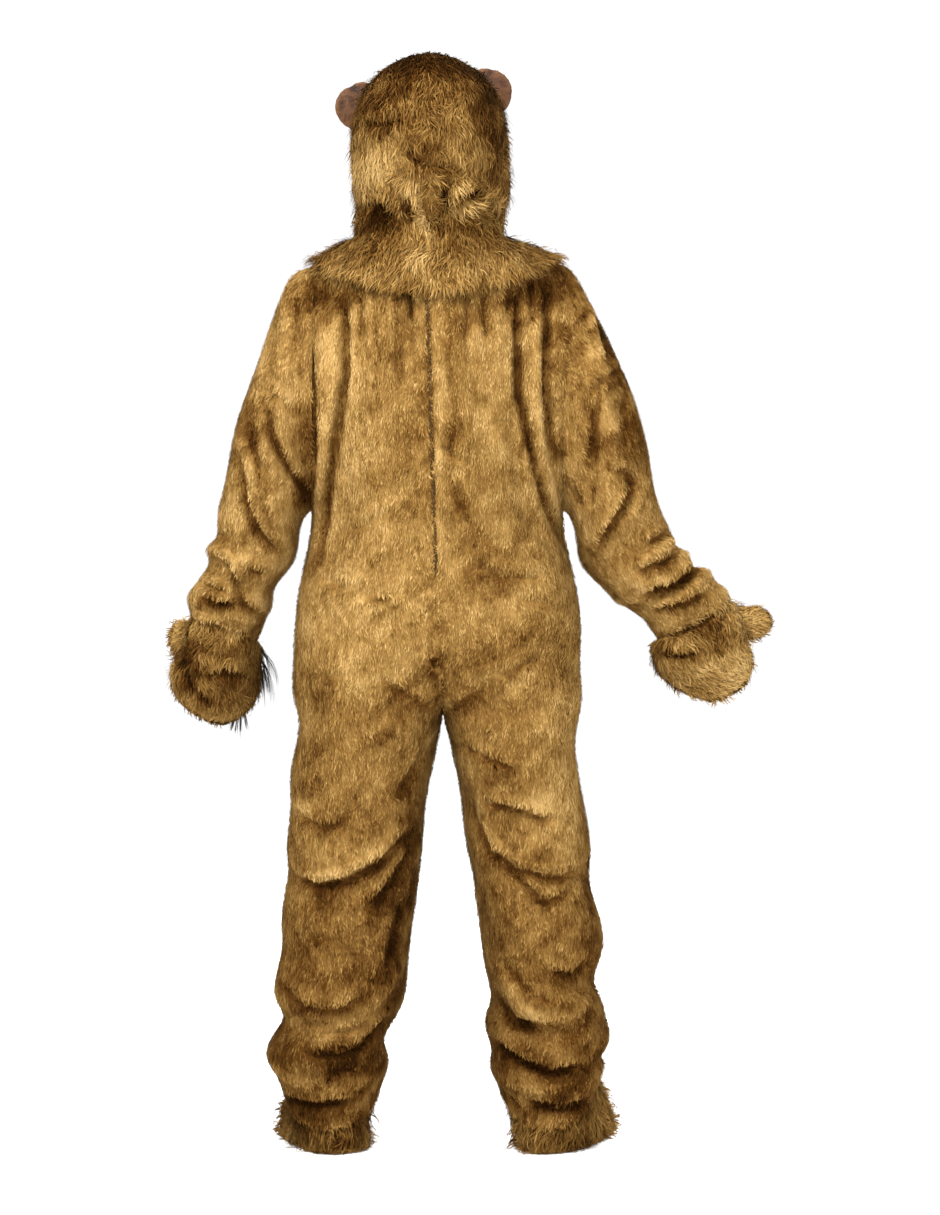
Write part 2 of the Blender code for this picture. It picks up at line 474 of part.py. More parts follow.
def wall(name, outer, inner, kind, wrap=False, holes=()):
    """A closed wall between two grids of points. A cell named in holes is left out of it."""
    rows, columns = outer.shape[:2]
    shape = bmesh.new()
    faces_of = []
    for grid in (outer, inner):
        faces_of.append([shape.verts.new(p) for p in grid.reshape(-1, 3)])
    last = columns if wrap else columns - 1
    triangles = []
    for r in range(rows - 1):
        for c in range(last):
            if (r, c) in holes:
                continue
            a, b = r * columns + c, r * columns + (c + 1) % columns
            d, e = a + columns, b + columns
            triangles += [(a, b, e), (a, e, d)]
    edges = {(t[i], t[(i + 1) % 3]) for t in triangles for i in range(3)}
    skin, lining = faces_of
    for a, b, c in triangles:
        shape.faces.new((skin[a], skin[b], skin[c]))
        shape.faces.new((lining[c], lining[b], lining[a]))
    for a, b in sorted(edges):
        if (b, a) in edges:
            continue
        # Both sides of a seam split their edge the same way, from its upper outer corner.
        if np.dot(skin[a].co - skin[b].co, UPWARDS) > 0:
            shape.faces.new((skin[b], skin[a], lining[b]))
            shape.faces.new((skin[a], lining[a], lining[b]))
        else:
            shape.faces.new((skin[b], skin[a], lining[a]))
            shape.faces.new((skin[b], lining[a], lining[b]))
    return add_object(name, shape, kind)


def fold_height(folds, x, z):
    """The height of the folds at a place, as seen from behind or from the front."""
    total = 0.0
    for fold in folds:
        run = np.array([fold.x1 - fold.x0, fold.z1 - fold.z0])
        along = np.dot([x - fold.x0, z - fold.z0], run) / np.dot(run, run)
        held = min(max(along, 0.0), 1.0)
        centre_x = mix(fold.x0, fold.x1, held)
        centre_z = mix(fold.z0, fold.z1, held) - 4.0 * fold.sag * held * (1.0 - held)
        away = math.hypot(x - centre_x, z - centre_z) / fold.width
        fade = min(1.0, FOLD_END_HEIGHT + FOLD_END_RISE * min(held, 1.0 - held))
        total += fold.height * fade * math.exp(-away * away)
    return total


def grid_normals(grid, before=None, after=None):
    """Unit normals of a grid of points. The points beyond its first and last column may be given."""
    left = grid[:, :1] if before is None else before[:, None]
    right = grid[:, -1:] if after is None else after[:, None]
    wide = np.concatenate([left, grid, right], axis=1)
    across = wide[:, 2:] - wide[:, :-2]
    tall = np.concatenate([grid[:1], grid, grid[-1:]], axis=0)
    down = tall[2:] - tall[:-2]
    return unit(np.cross(across, down))


# The jumpsuit's body.


def torso_point(row, side, u):
    """u runs from 0 at the centre back, by 0.5 at the side, to 1 at the centre front."""
    behind = u <= 0.5
    s = 2.0 * u if behind else 2.0 * (1.0 - u)
    turn = 0.5 * math.pi * s
    across = mix(math.sin(turn) ** FULLNESS, s, row.open_share)
    depth = mix(max(math.cos(turn), 0.0) ** FULLNESS, 1.0 - s**SLACK_POWER, row.open_share)
    edge_x = row.left if side == LEFT else row.right
    edge_y = row.arm if behind else -row.arm
    far_y = row.back if behind else row.front
    far_z = row.z_back if behind else row.z_front
    return np.array(
        [
            mix(row.seam, edge_x, across),
            mix(edge_y, far_y, depth),
            mix(row.z_side, far_z, depth),
        ]
    )


def loop_point(outer, inner, middle, depth, u):
    """A point of a leg's section. u runs from the inseam by the back, the side and the front."""
    turn = 2.0 * math.pi * u
    across = round_power(math.cos(turn), FULLNESS)
    back = round_power(math.sin(turn), FULLNESS)
    return np.array([mix(outer, inner, 0.5 + 0.5 * across), middle + depth * back])


def hem_drop(side, z, u):
    """How far the hem's slant lifts a point of the lower leg."""
    ramp = min(max((HEM_START_Z - z) / (HEM_START_Z - LEGS[-1].z), 0.0), 1.0)
    hem = HEMS[side]
    turn = 2.0 * math.pi * u
    across = hem.inner if math.cos(turn) > 0 else hem.outer
    along = hem.back if math.sin(turn) > 0 else hem.front
    return ramp * (across * math.cos(turn) ** 2 + along * math.sin(turn) ** 2)


def leg_point(row, side, u):
    outer = row.outer_left if side == LEFT else row.outer_right
    inner = row.inner_left if side == LEFT else row.inner_right
    x, y = loop_point(outer, inner, row.middle, row.depth, u)
    return np.array([x, y, row.z + hem_drop(side, row.z, u)])


def seat_point(row, side, u):
    """A torso point, which turns into a leg's as the row nears the crotch."""
    point = torso_point(row, side, u)
    near = min(max((HIP_Z - row.z_side) / (HIP_Z - CROTCH_Z), 0.0), 1.0)
    share = 1.0 - math.sqrt(1.0 - near * near)
    if share == 0.0:
        return point
    edge_x = row.left if side == LEFT else row.right
    depth = SEAT_DEPTH_SHARE * (row.back - row.front) / 2
    x, y = loop_point(edge_x, row.seam, (row.back + row.front) / 2, depth, u)
    return mix(point, np.array([x, y, row.z_side]), share)


def half_suit(side):
    """The back and the front grid of one side, before any folds."""
    halves = []
    for start in (0.0, 0.5):
        columns = [start + 0.5 * c / PANEL_COLUMNS for c in range(PANEL_COLUMNS + 1)]
        behind = start == 0.0
        grid = []
        for row in TORSO:
            # At the side, the front panel's own edge is wanted, just past the half way.
            shares = columns if behind else [0.5 + 1e-9, *columns[1:]]
            grid.append([seat_point(row, side, u) for u in shares])
        for row in LEGS:
            grid.append([leg_point(row, side, u) for u in columns])
        halves.append(np.array(grid))
    return halves


def is_armhole(row):
    return SHOULDER_TIP_ROW < row < ARMPIT_ROW


def suit_normals(grids, side):
    """Normals of the back and front grids, made alike on both sides of every seam."""
    back, front = grids[side]
    far_back, far_front = grids[-side]
    crotch = len(TORSO)
    before, after = far_back[:, 1].copy(), far_front[:, -2].copy()
    before[crotch:], after[crotch:] = front[crotch:, -2], back[crotch:, 1]
    over, under = front[:, 1].copy(), back[:, -2].copy()
    for row in range(SHOULDER_TIP_ROW, ARMPIT_ROW + 1):
        over[row], under[row] = back[row, -1], front[row, 0]
    found = [
        side * grid_normals(back, before, over),
        side * grid_normals(front, under, after),
    ]
    for normals, middle, edge in ((found[0], 0, -1), (found[1], -1, 0)):
        normals[:crotch, middle, 0] = 0.0
        normals[crotch:, middle, 1] = 0.0
        normals[crotch, middle] = np.multiply(CROTCH_NORMAL, (side, 1.0, 1.0))
        for row in range(len(normals)):
            if not is_armhole(row):
                normals[row, edge, 1] = 0.0
            if SHOULDER_TIP_ROW <= row <= ARMPIT_ROW:
                outwards = max(side * normals[row, edge, 0], ARMHOLE_LEAST_OUT)
                normals[row, edge, 0] = side * outwards
        normals[:] = unit(normals)
    return found


def folded_suit():
    """The outer points and the normals of all four panels: suit[side] = (back, front)."""
    grids = {side: half_suit(side) for side in (LEFT, RIGHT)}
    plain = {side: suit_normals(grids, side) for side in grids}
    for side, (back, front) in grids.items():
        for grid, normals, folds in (
            (back, plain[side][0], BACK_FOLDS),
            (front, plain[side][1], FRONT_FOLDS),
        ):
            for row in range(SHOULDER_TIP_ROW + 1, len(grid) - 1):
                for column in range(PANEL_COLUMNS + 1):
                    x, y, z = grid[row, column]
                    facing = min(1.0, abs(normals[row, column, 1]) * BODY_FACING)
                    height = facing * fold_height(folds, x, z)
                    if row == len(TORSO) and column in (0, PANEL_COLUMNS):
                        height = 0.0
                    grid[row, column] += height * normals[row, column]
    return grids, {side: suit_normals(grids, side) for side in grids}


def seam_shift(row, column, side, behind):
    """How far a panel's edge draws back from its seams."""
    gap = SEAM_GAP / 2
    shift = np.zeros(3)
    towards = 1.0 if behind else -1.0
    middle = 0 if behind else PANEL_COLUMNS
    edge = PANEL_COLUMNS - middle
    crotch = len(TORSO)
    if column == middle:
        if row <= crotch:
            shift[0] += side * gap
        if row >= crotch:
            shift[1] += towards * gap
        if behind and SHOULDER_TIP_ROW <= row <= ZIP_END_ROW:
            shift[0] = side * ZIP_SLOT / 2
    if column == edge:
        if not is_armhole(row):
            shift[1] += towards * gap
        if SHOULDER_TIP_ROW <= row <= ARMPIT_ROW:
            shift[0] -= side * gap
    return shift


def build_body(grids, normals):
    for side, name in SIDE_NAMES.items():
        for part, behind in ((0, True), (1, False)):
            outer = grids[side][part].copy()
            inner = outer - SUIT_WALL * normals[side][part]
            for row in range(len(outer)):
                for column in (0, PANEL_COLUMNS):
                    shift = seam_shift(row, column, side, behind)
                    outer[row, column] += shift
                    inner[row, column] += shift
            piece = "back" if behind else "front"
            wall(f"{piece}_{name}", outer, inner, "plush")


def build_zip(grids, normals):
    """A strip that fills the slot between the two back panels, sunk below their pile."""
    rows = range(SHOULDER_TIP_ROW, ZIP_END_ROW + 1)
    spine = np.array([grids[LEFT][0][row, 0] for row in rows])
    out = np.array([normals[LEFT][0][row, 0] for row in rows])
    half = np.array([ZIP_WIDTH / 2, 0.0, 0.0])
    face = spine - ZIP_DEPTH * out
    outer = np.stack([face - half, face + half], axis=1)
    inner = outer - ZIP_THICK * out[:, None]
    wall("zip_strip", outer, inner, "zip")


# The sleeves.


def armhole_loop(grids, side):
    """The armhole's points, from the armpit up the back to the shoulder tip and down the front."""
    back, front = grids[side]
    up = range(ARMPIT_ROW, SHOULDER_TIP_ROW, -1)
    down = range(SHOULDER_TIP_ROW, ARMPIT_ROW)
    return np.array([back[r, -1] for r in up] + [front[r, 0] for r in down])


def sleeve_grid(grids, side):
    first = armhole_loop(grids, side)
    top, bottom = first[PANEL_COLUMNS], first[0]
    half = (top[2] - bottom[2]) / 2
    first_high = (first[:, 2] - bottom[2]) / half - 1.0
    first_deep = first[:, 1] / TORSO[WIDEST_ARMHOLE_ROW].arm
    turns = 2.0 * math.pi * np.arange(RING_COLUMNS) / RING_COLUMNS
    round_high = np.array([-round_power(math.cos(t), FULLNESS) for t in turns])
    round_deep = np.array([round_power(math.sin(t), FULLNESS) for t in turns])
    grid = [first]
    for k, ring in enumerate(SLEEVES[side], start=1):
        rounding = min(1.0, k / SLEEVE_ROUND_RINGS)
        high = mix(first_high, round_high, rounding)
        deep = mix(first_deep, round_deep, rounding)
        outer = np.array([ring.outer_x, ring.middle, ring.outer_z])
        inner = np.array([ring.inner_x, ring.middle, ring.inner_z])
        centre, reach = (outer + inner) / 2, (outer - inner) / 2
        points = centre + high[:, None] * reach + deep[:, None] * [0.0, ring.depth, 0.0]
        grid.append(points)
    return np.array(grid)


def ring_normals(grid, side):
    """Normals of a tube whose columns close on themselves."""
    return side * grid_normals(grid, grid[:, -1], grid[:, 0])


def folded_sleeve(grids, side):
    grid = sleeve_grid(grids, side)
    normals = ring_normals(grid, side)
    for ring in range(1, len(grid) - 2):
        for column in range(RING_COLUMNS):
            x, y, z = grid[ring, column]
            out = normals[ring, column]
            folds = SLEEVE_BACK_FOLDS if out[1] > 0 else SLEEVE_FRONT_FOLDS
            height = min(1.0, abs(out[1]) * SLEEVE_FACING) * fold_height(folds, x, z)
            grid[ring, column] += height * out
    normals = ring_normals(grid, side)
    normals[0, :, 0] = 0.0
    normals[0] = unit(normals[0])
    return grid, normals


def build_sleeve(grid, normals, side):
    outer = grid.copy()
    inner = outer - SUIT_WALL * normals
    for points in (outer, inner):
        points[0, :, 0] += side * SEAM_GAP / 2
    wall(f"sleeve_{SIDE_NAMES[side]}", outer, inner, "plush", wrap=True)


# The mittens.


def mitten_grid(sleeve, normals, side):
    """Rings from inside the sleeve's cuff to the finger tips, by the sleeve's own columns."""
    cuff = sleeve - (SUIT_WALL + REST_GAP) * normals
    axis = unit(cuff[-1].mean(axis=0) - cuff[-2].mean(axis=0))
    tucked = cuff[-2] - CUFF_TUCK * normals[-2]
    grid = [tucked, cuff[-1] + CUFF_PAST * axis]
    turns = 2.0 * math.pi * np.arange(RING_COLUMNS) / RING_COLUMNS
    # The sleeve's first column lies on the little-finger side.
    across = np.array([0.5 - 0.5 * round_power(math.cos(t), FULLNESS) for t in turns])
    deep = np.array([round_power(math.sin(t), FULLNESS) for t in turns])
    for palm in MITTENS[side]:
        thumb = np.array([palm.thumb_x, palm.middle, palm.thumb_z])
        little = np.array([palm.little_x, palm.middle, palm.little_z])
        points = little + across[:, None] * (thumb - little)
        grid.append(points + deep[:, None] * [0.0, palm.depth, 0.0])
    return np.array(grid)


def build_mitten(sleeve, sleeve_normals, side):
    name = SIDE_NAMES[side]
    grid = mitten_grid(sleeve, sleeve_normals, side)
    normals = ring_normals(grid, side)
    tip = unit(grid[-1].mean(axis=0) - grid[-3].mean(axis=0))
    normals[-1] = tip
    half = RING_COLUMNS // 2
    back = grid[:, : half + 1].copy()
    palm = np.concatenate([grid[:, half:], grid[:, :1]], axis=1)
    back_out = normals[:, : half + 1].copy()
    palm_out = np.concatenate([normals[:, half:], normals[:, :1]], axis=1)
    gap = np.array([0.0, SEAM_GAP / 2, 0.0])
    opening = OPENINGS[side]
    back_pull = np.array([0.0, opening.back_y, 0.0])
    palm_pull = np.array([side * opening.palm_x, opening.palm_y, 0.0])
    for points, out, thumb_column, pull in (
        (back, back_out, half, back_pull),
        (palm, palm_out, 0, palm_pull),
    ):
        seams = (0, half)
        for column in seams:
            out[:-1, column, 1] = 0.0
        span = THUMB_LAST_RING - THUMB_FIRST_RING
        for ring in range(THUMB_FIRST_RING + 1, THUMB_LAST_RING):
            wide = math.sin(math.pi * (ring - THUMB_FIRST_RING) / span)
            for away, spread in enumerate(THUMB_SPREAD):
                points[ring, abs(thumb_column - away)] += wide * spread * pull
        out[:] = unit(out)
    loops = (back[:, half].copy(), palm[:, 0].copy())
    for points, out, sign, piece in ((back, back_out, 1, "back"), (palm, palm_out, -1, "palm")):
        inner = points - MITTEN_WALL * out
        for grid_points in (points, inner):
            for column in (0, half):
                grid_points[:, column] += sign * gap
            grid_points[-1, 1:half] += sign * gap
            thumb_column = half if sign > 0 else 0
            beside = slice(THUMB_FIRST_RING, THUMB_LAST_RING + 1)
            grid_points[beside, thumb_column, 0] -= side * SEAM_GAP / 2
        wall(f"mitten_{piece}_{name}", points, inner, "long_plush")
    build_thumb(loops, side)


def build_thumb(loops, side):
    """A closed tube that stands on the opening between the mitten's back and palm."""
    back, palm = loops
    down = range(THUMB_FIRST_RING, THUMB_LAST_RING)
    up = range(THUMB_LAST_RING, THUMB_FIRST_RING, -1)
    root = np.array([back[r] for r in down] + [palm[r] for r in up])
    count = len(root)
    turns = 2.0 * math.pi * np.arange(count) / count
    hand = unit(back[THUMB_LAST_RING] - back[THUMB_FIRST_RING])
    grid = [root]
    before = root.mean(axis=0)
    for ring in THUMBS[side]:
        centre = np.array([ring.x, ring.y, ring.z])
        deep = side * ring.depth * unit(np.cross(centre - before, hand))
        along = -np.cos(turns)[:, None] * ring.along * hand
        grid.append(centre + along + np.sin(turns)[:, None] * deep)
        before = centre
    last, earlier = grid[-1].mean(axis=0), grid[-2].mean(axis=0)
    tip = last + THUMB_TIP_REACH * (last - earlier)
    grid.append(np.tile(tip, (count, 1)))
    grid = np.array(grid)
    normals = -ring_normals(grid, side)
    centres = grid.mean(axis=1, keepdims=True)
    outward = grid - centres
    turned = np.sum(normals[1] * outward[1], axis=-1).mean()
    normals = normals * math.copysign(1.0, turned)
    normals[0, :, 0] = 0.0
    normals[-1] = unit(tip - grid[-3].mean(axis=0))
    normals = unit(normals)
    inner = grid - MITTEN_WALL * normals
    for points in (grid, inner):
        points[0, :, 0] += side * SEAM_GAP / 2
    wall(f"thumb_{SIDE_NAMES[side]}", grid, inner, "long_plush", wrap=True)


# The hood, mask and ears.


def head_row(v):
    """The head's section at a row number, which may lie between two rows."""
    low = min(int(v), len(HEAD) - 2)
    return Head(*(mix(a, b, v - low) for a, b in zip(HEAD[low], HEAD[low + 1])))


def head_point(v, u):
    """u runs from 0 at the centre back to 1 at the centre front, and below 0 on the right."""
    row = head_row(v)
    turn = math.pi * u
    far = row.back if abs(u) <= 0.5 else -row.front
    x = row.seam + row.half_width * round_power(math.sin(turn), FULLNESS)
    y = far * round_power(math.cos(turn), FULLNESS)
    return np.array([x, y, row.z])


def head_normal(v, u):
    low, high = min(v + HEAD_STEP, len(HEAD) - 1), max(v - HEAD_STEP, 0)
    down = head_point(low, u) - head_point(high, u)
    across = head_point(v, u + HEAD_STEP) - head_point(v, u - HEAD_STEP)
    if np.linalg.norm(across) < 1e-6:
        return np.array([0.0, 0.0, 1.0])
    normal = np.cross(across, down)
    return normal / np.linalg.norm(normal)


def hood_edge(v, side):
    """The outer point, inner point and forward direction of the hood's edge at the mask."""
    share = head_row(v).opening
    point, normal = head_point(v, side * share), head_normal(v, side * share)
    forward = head_point(v, side * (share + EDGE_STEP)) - point
    above, below = max(v - 1, OPENING_TOP_ROW), min(v + 1, len(HEAD) - 1)
    seam = head_point(below, side * HEAD[below].opening)
    seam = unit(seam - head_point(above, side * HEAD[above].opening))
    forward = unit(forward - np.dot(forward, seam) * seam)
    if v == OPENING_TOP_ROW:
        normal[0] = 0.0
        normal = unit(normal)
        forward = np.array([0.0, 0.0, -1.0])
    if v == len(HEAD) - 1:
        normal[2] = 0.0
        normal = unit(normal)
    return point, point - LONG_PILE_WALL * normal, forward


def build_hood():
    for side, name in SIDE_NAMES.items():
        outer, out = [], []
        for v, row in enumerate(HEAD):
            shares = [side * row.opening * c / HOOD_COLUMNS for c in range(HOOD_COLUMNS + 1)]
            outer.append([head_point(v, u) for u in shares])
            out.append([head_normal(v, u) for u in shares])
        outer, out = np.array(outer), np.array(out)
        for v in range(2, len(HEAD) - 1):
            for c in range(HOOD_COLUMNS):
                x, y, z = outer[v, c]
                facing = min(1.0, max(out[v, c, 1], 0.0) * HOOD_FACING)
                outer[v, c] += facing * fold_height(HOOD_FOLDS, x, z) * out[v, c]
        out[:, 0, 0] = 0.0
        out[: OPENING_TOP_ROW + 1, -1, 0] = 0.0
        out[0, :, 0] = 0.0
        out[-1, :, 2] = 0.0
        out = unit(out)
        inner = outer - LONG_PILE_WALL * out
        gap = SEAM_GAP / 2
        for v in range(len(HEAD)):
            if v > OPENING_TOP_ROW:
                point, lining, forward = hood_edge(v, side)
                outer[v, -1], inner[v, -1] = point - gap * forward, lining - gap * forward
            for grid in (outer, inner):
                grid[v, 0, 0] += side * gap
                if v <= OPENING_TOP_ROW:
                    grid[v, -1, 0] += side * gap
        outer[0, 1:-1, 0] += side * gap
        inner[0, 1:-1, 0] += side * gap
        wall(f"hood_{name}", outer, inner, "long_plush")


def mask_relief(x, z):
    total = 0.0
    for mound in MASK_MOUNDS:
        away = abs(x - mound.x) / mound.half_x, abs(z - mound.z) / mound.half_z
        far = math.hypot(*away)
        total += mound.reach * math.exp(-MOUND_FALL * far**mound.power)
    return total


def mask_grid():
    """The mask's outer points, from the top of its opening to the neck seam, left to right."""
    count = MASK_ROWS_PER_ROW * (len(HEAD) - 1 - OPENING_TOP_ROW)
    grid = []
    for r in range(count + 1):
        v = OPENING_TOP_ROW + r / MASK_ROWS_PER_ROW
        share = head_row(v).opening
        line = []
        for c in range(MASK_COLUMNS + 1):
            t = 1.0 - 2.0 * c / MASK_COLUMNS
            u = 1.0 - t * (1.0 - share)
            point = head_point(v, u)
            fade = min(1.0, MASK_EDGE_FADE * (1.0 - abs(t)))
            point[1] -= fade * mask_relief(point[0] - head_row(v).seam, point[2])
            line.append(point)
        grid.append(line)
    return np.array(grid)


def mask_edges(grid, inner):
    """Sets the mask's side edges beside the hood's, half way between them on the odd rows."""
    gap = SEAM_GAP / 2
    for side, column in ((LEFT, 0), (RIGHT, -1)):
        marks = []
        for v in range(OPENING_TOP_ROW, len(HEAD)):
            point, lining, forward = hood_edge(v, side)
            # The mask is thinner than the hood, and its outer face lies flush with the fur.
            thin = mix(point, lining, MASK_WALL / LONG_PILE_WALL)
            marks.append((point + gap * forward, thin + gap * forward))
        for r in range(len(grid)):
            low = min(r // MASK_ROWS_PER_ROW, len(marks) - 2)
            share = r / MASK_ROWS_PER_ROW - low
            grid[r, column] = mix(marks[low][0], marks[low + 1][0], share)
            inner[r, column] = mix(marks[low][1], marks[low + 1][1], share)


def build_mask():
    grid = mask_grid()
    out = grid_normals(grid)
    out[0] = out[1].mean(axis=0)
    out[0, :, 0] = 0.0
    out[-1, :, 2] = 0.0
    out = unit(out)
    inner = grid - MASK_WALL * out
    top = hood_edge(OPENING_TOP_ROW, LEFT)
    mask_edges(grid, inner)
    apex_gap = np.array([0.0, 0.0, -SEAM_GAP])
    grid[0] = top[0] + apex_gap
    inner[0] = mix(top[0], top[1], MASK_WALL / LONG_PILE_WALL) + apex_gap
    build_nose(grid, out)
    cut = cut_holes(grid, inner)
    wall("face_mask", grid, inner, "latex", holes=cut)


def cut_holes(grid, inner):
    """Draws the grid's lines around each opening to its oval, and gives the cells to leave out."""
    cells = set()
    for hole in MASK_HOLES:
        block = grid[hole.top : hole.bottom + 1, hole.first : hole.last + 1]
        centre = (block[0, 0] + block[0, -1] + block[-1, 0] + block[-1, -1]) / 4
        for r in range(hole.top, hole.bottom + 1):
            for c in range(hole.first, hole.last + 1):
                high = 1.0 - 2.0 * (r - hole.top) / (hole.bottom - hole.top)
                side = 1.0 - 2.0 * (c - hole.first) / (hole.last - hole.first)
                x = hole.half_x * side * math.sqrt(1.0 - high * high / 2)
                z = hole.half_z * high * math.sqrt(1.0 - side * side / 2)
                shift = np.array([centre[0] + x, 0.0, centre[2] + z]) - grid[r, c]
                shift[1] = 0.0
                grid[r, c] += shift
                inner[r, c] += shift
                if r < hole.bottom and c < hole.last:
                    cells.add((r, c))
    return cells


def patch_point(patch, s, t):
    """A place on the triangles of a grid, at row s and column t."""
    a, b = min(int(s), patch.shape[0] - 2), min(int(t), patch.shape[1] - 2)
    s, t = s - a, t - b
    first, last = patch[a, b], patch[a + 1, b + 1]
    if t >= s:
        corner = patch[a, b + 1]
        return first + t * (corner - first) + s * (last - corner)
    corner = patch[a + 1, b]
    return first + s * (corner - first) + t * (last - corner)


def build_nose(grid, out):
    """A rounded cap on the end of the muzzle, whose back lies along the mask."""
    (top, bottom), (left, right) = NOSE_ROWS, NOSE_COLUMNS
    patch = grid[top : bottom + 1, left : right + 1]
    normals = out[top : bottom + 1, left : right + 1]
    under = patch + NOSE_CLEAR * normals
    forward = unit(normals.mean(axis=(0, 1)))
    tall, wide = (bottom - top) / 2, (right - left) / 2
    low = np.zeros((NOSE_CELLS + 1, NOSE_CELLS + 1, 3))
    face = low.copy()
    for r in range(NOSE_CELLS + 1):
        for c in range(NOSE_CELLS + 1):
            high, side = 2.0 * r / NOSE_CELLS - 1.0, 2.0 * c / NOSE_CELLS - 1.0
            # The square of cells is rounded into a disc.
            s = high * math.sqrt(1.0 - side * side / 2)
            t = side * math.sqrt(1.0 - high * high / 2)
            low[r, c] = patch_point(under, tall * (1 + NOSE_REACH * s), wide * (1 + NOSE_REACH * t))
            dome = math.sqrt(max(0.0, 1.0 - NOSE_FULLNESS * (s * s + t * t)))
            face[r, c] = low[r, c] + NOSE_HEIGHT * dome * forward
    wall("nose", face, low, "nose")


def build_ear(side):
    ear = EARS[side]
    lean = np.array([side * math.cos(ear.lean), 0.0, math.sin(ear.lean)])
    upright = np.array([-side * math.sin(ear.lean), 0.0, math.cos(ear.lean)])
    centre = np.array([ear.x, ear.y, ear.z])
    skins = []
    for face in (1.0, -1.0):
        sheet = []
        for k in range(EAR_RINGS + 1):
            line = []
            for s in range(EAR_SPOKES + 1):
                turn = math.pi * s / EAR_SPOKES
                out, up = ear.reach * math.sin(turn), ear.half_height * math.cos(turn)
                share = k / EAR_RINGS
                rim = (EAR_DISH_OUT * share) ** 2 + EAR_DISH_UP * math.cos(turn) ** 2
                dish = EAR_DISH * (1.0 - rim)
                middle = math.sqrt(share)
                tall = mix(EAR_ROOT_HEIGHT, 1.0, middle)
                point = centre + lean * out * middle + upright * up * tall
                point[1] += dish + face * EAR_WALL / 2
                line.append(point)
            sheet.append(line)
        skins.append(np.array(sheet))
    for sheet in skins:
        for s in range(EAR_SPOKES + 1):
            for k in range(EAR_RINGS + 1):
                sheet[k, s] = outside_head(sheet[k, s], lean, EAR_CLEAR * (1 + 4 * k))
    wall(f"ear_{SIDE_NAMES[side]}", skins[0], skins[1], "latex")


def outside_head(point, direction, clear):
    """The point, moved along the direction until it is clear of the hood."""
    moved = point.copy()
    for _ in range(EAR_STEPS):
        if not inside_head(moved - clear * direction):
            return moved
        moved = moved + EAR_CLEAR * direction
    return moved


def inside_head(point):
    heights = [row.z for row in HEAD]
    if point[2] >= heights[0]:
        return False
    v = float(np.interp(-point[2], [-h for h in heights], range(len(HEAD))))
    row = head_row(v)
    far = row.back if point[1] > 0 else -row.front
    wide = max(row.half_width, 1e-6)
    power = 2.0 / FULLNESS
    return abs((point[0] - row.seam) / wide) ** power + abs(point[1] / far) ** power < 1.0


# The cape that hangs from the neck seam over the shoulders.


def suit_ring(grids, row):
    """One row of the suit, all the way round: left back, left front, right front, right back."""
    low = int(row)
    share = row - low
    order = [(LEFT, 0, range(PANEL_COLUMNS)), (LEFT, 1, range(PANEL_COLUMNS))]
    order += [(RIGHT, 1, range(PANEL_COLUMNS, 0, -1)), (RIGHT, 0, range(PANEL_COLUMNS, 0, -1))]
    points = []
    for side, part, columns in order:
        for column in columns:
            grid = grids[side][part]
            points.append(mix(grid[low, column], grid[min(low + 1, len(grid) - 1), column], share))
    return np.array(points)


def build_cape(grids, normals):
    count = 2 * RING_COLUMNS
    places = np.arange(count)
    around = 2.0 * math.pi * places / count
    hem = np.where(np.cos(around) > 0, CAPE_HEM_BACK, CAPE_HEM_FRONT)
    hem = mix(CAPE_HEM_SIDE, hem, np.abs(np.cos(around)) ** CAPE_HEM_POWER)
    neck = len(HEAD) - 1
    shares = [1.0 - abs(2.0 * k / count - 1.0) for k in places]
    signs = [1.0 if k <= count // 2 else -1.0 for k in places]
    top = np.array([head_point(neck, sign * share) for sign, share in zip(signs, shares)])
    top_out = np.array([head_normal(neck, sign * share) for sign, share in zip(signs, shares)])
    top_out[:, 2] = 0.0
    top_out = unit(top_out)
    top[:, 2] -= SEAM_GAP
    inner = [top - LONG_PILE_WALL * top_out]
    outer = [top]
    for part in CAPE_PARTS:
        line, out = [], []
        for k in places:
            row = mix(1.0, hem[k], part)
            line.append(suit_ring(grids, row)[k])
            out.append(mix(*(suit_ring(normals, r)[k] for r in (int(row), int(row) + 1)), row % 1))
        line, out = np.array(line), unit(np.array(out))
        wave = 0.5 - 0.5 * np.cos(CAPE_GATHERS * around + CAPE_GATHER_START)
        lift = CAPE_CLEAR + CAPE_GATHER_HEIGHT * mix(CAPE_GATHER_TOP, 1.0, part) * wave
        lining = line + lift[:, None] * out
        inner.append(lining)
        outer.append(lining + LONG_PILE_WALL * out)
    wall("cape", np.array(outer), np.array(inner), "long_plush", wrap=True)


# The shoe covers.


def leg_ring(grids, side, row):
    """A row of a trouser leg, all the way round from the inseam by the back."""
    back, front = grids[side]
    return np.concatenate([back[row, :-1], front[row, :-1]])


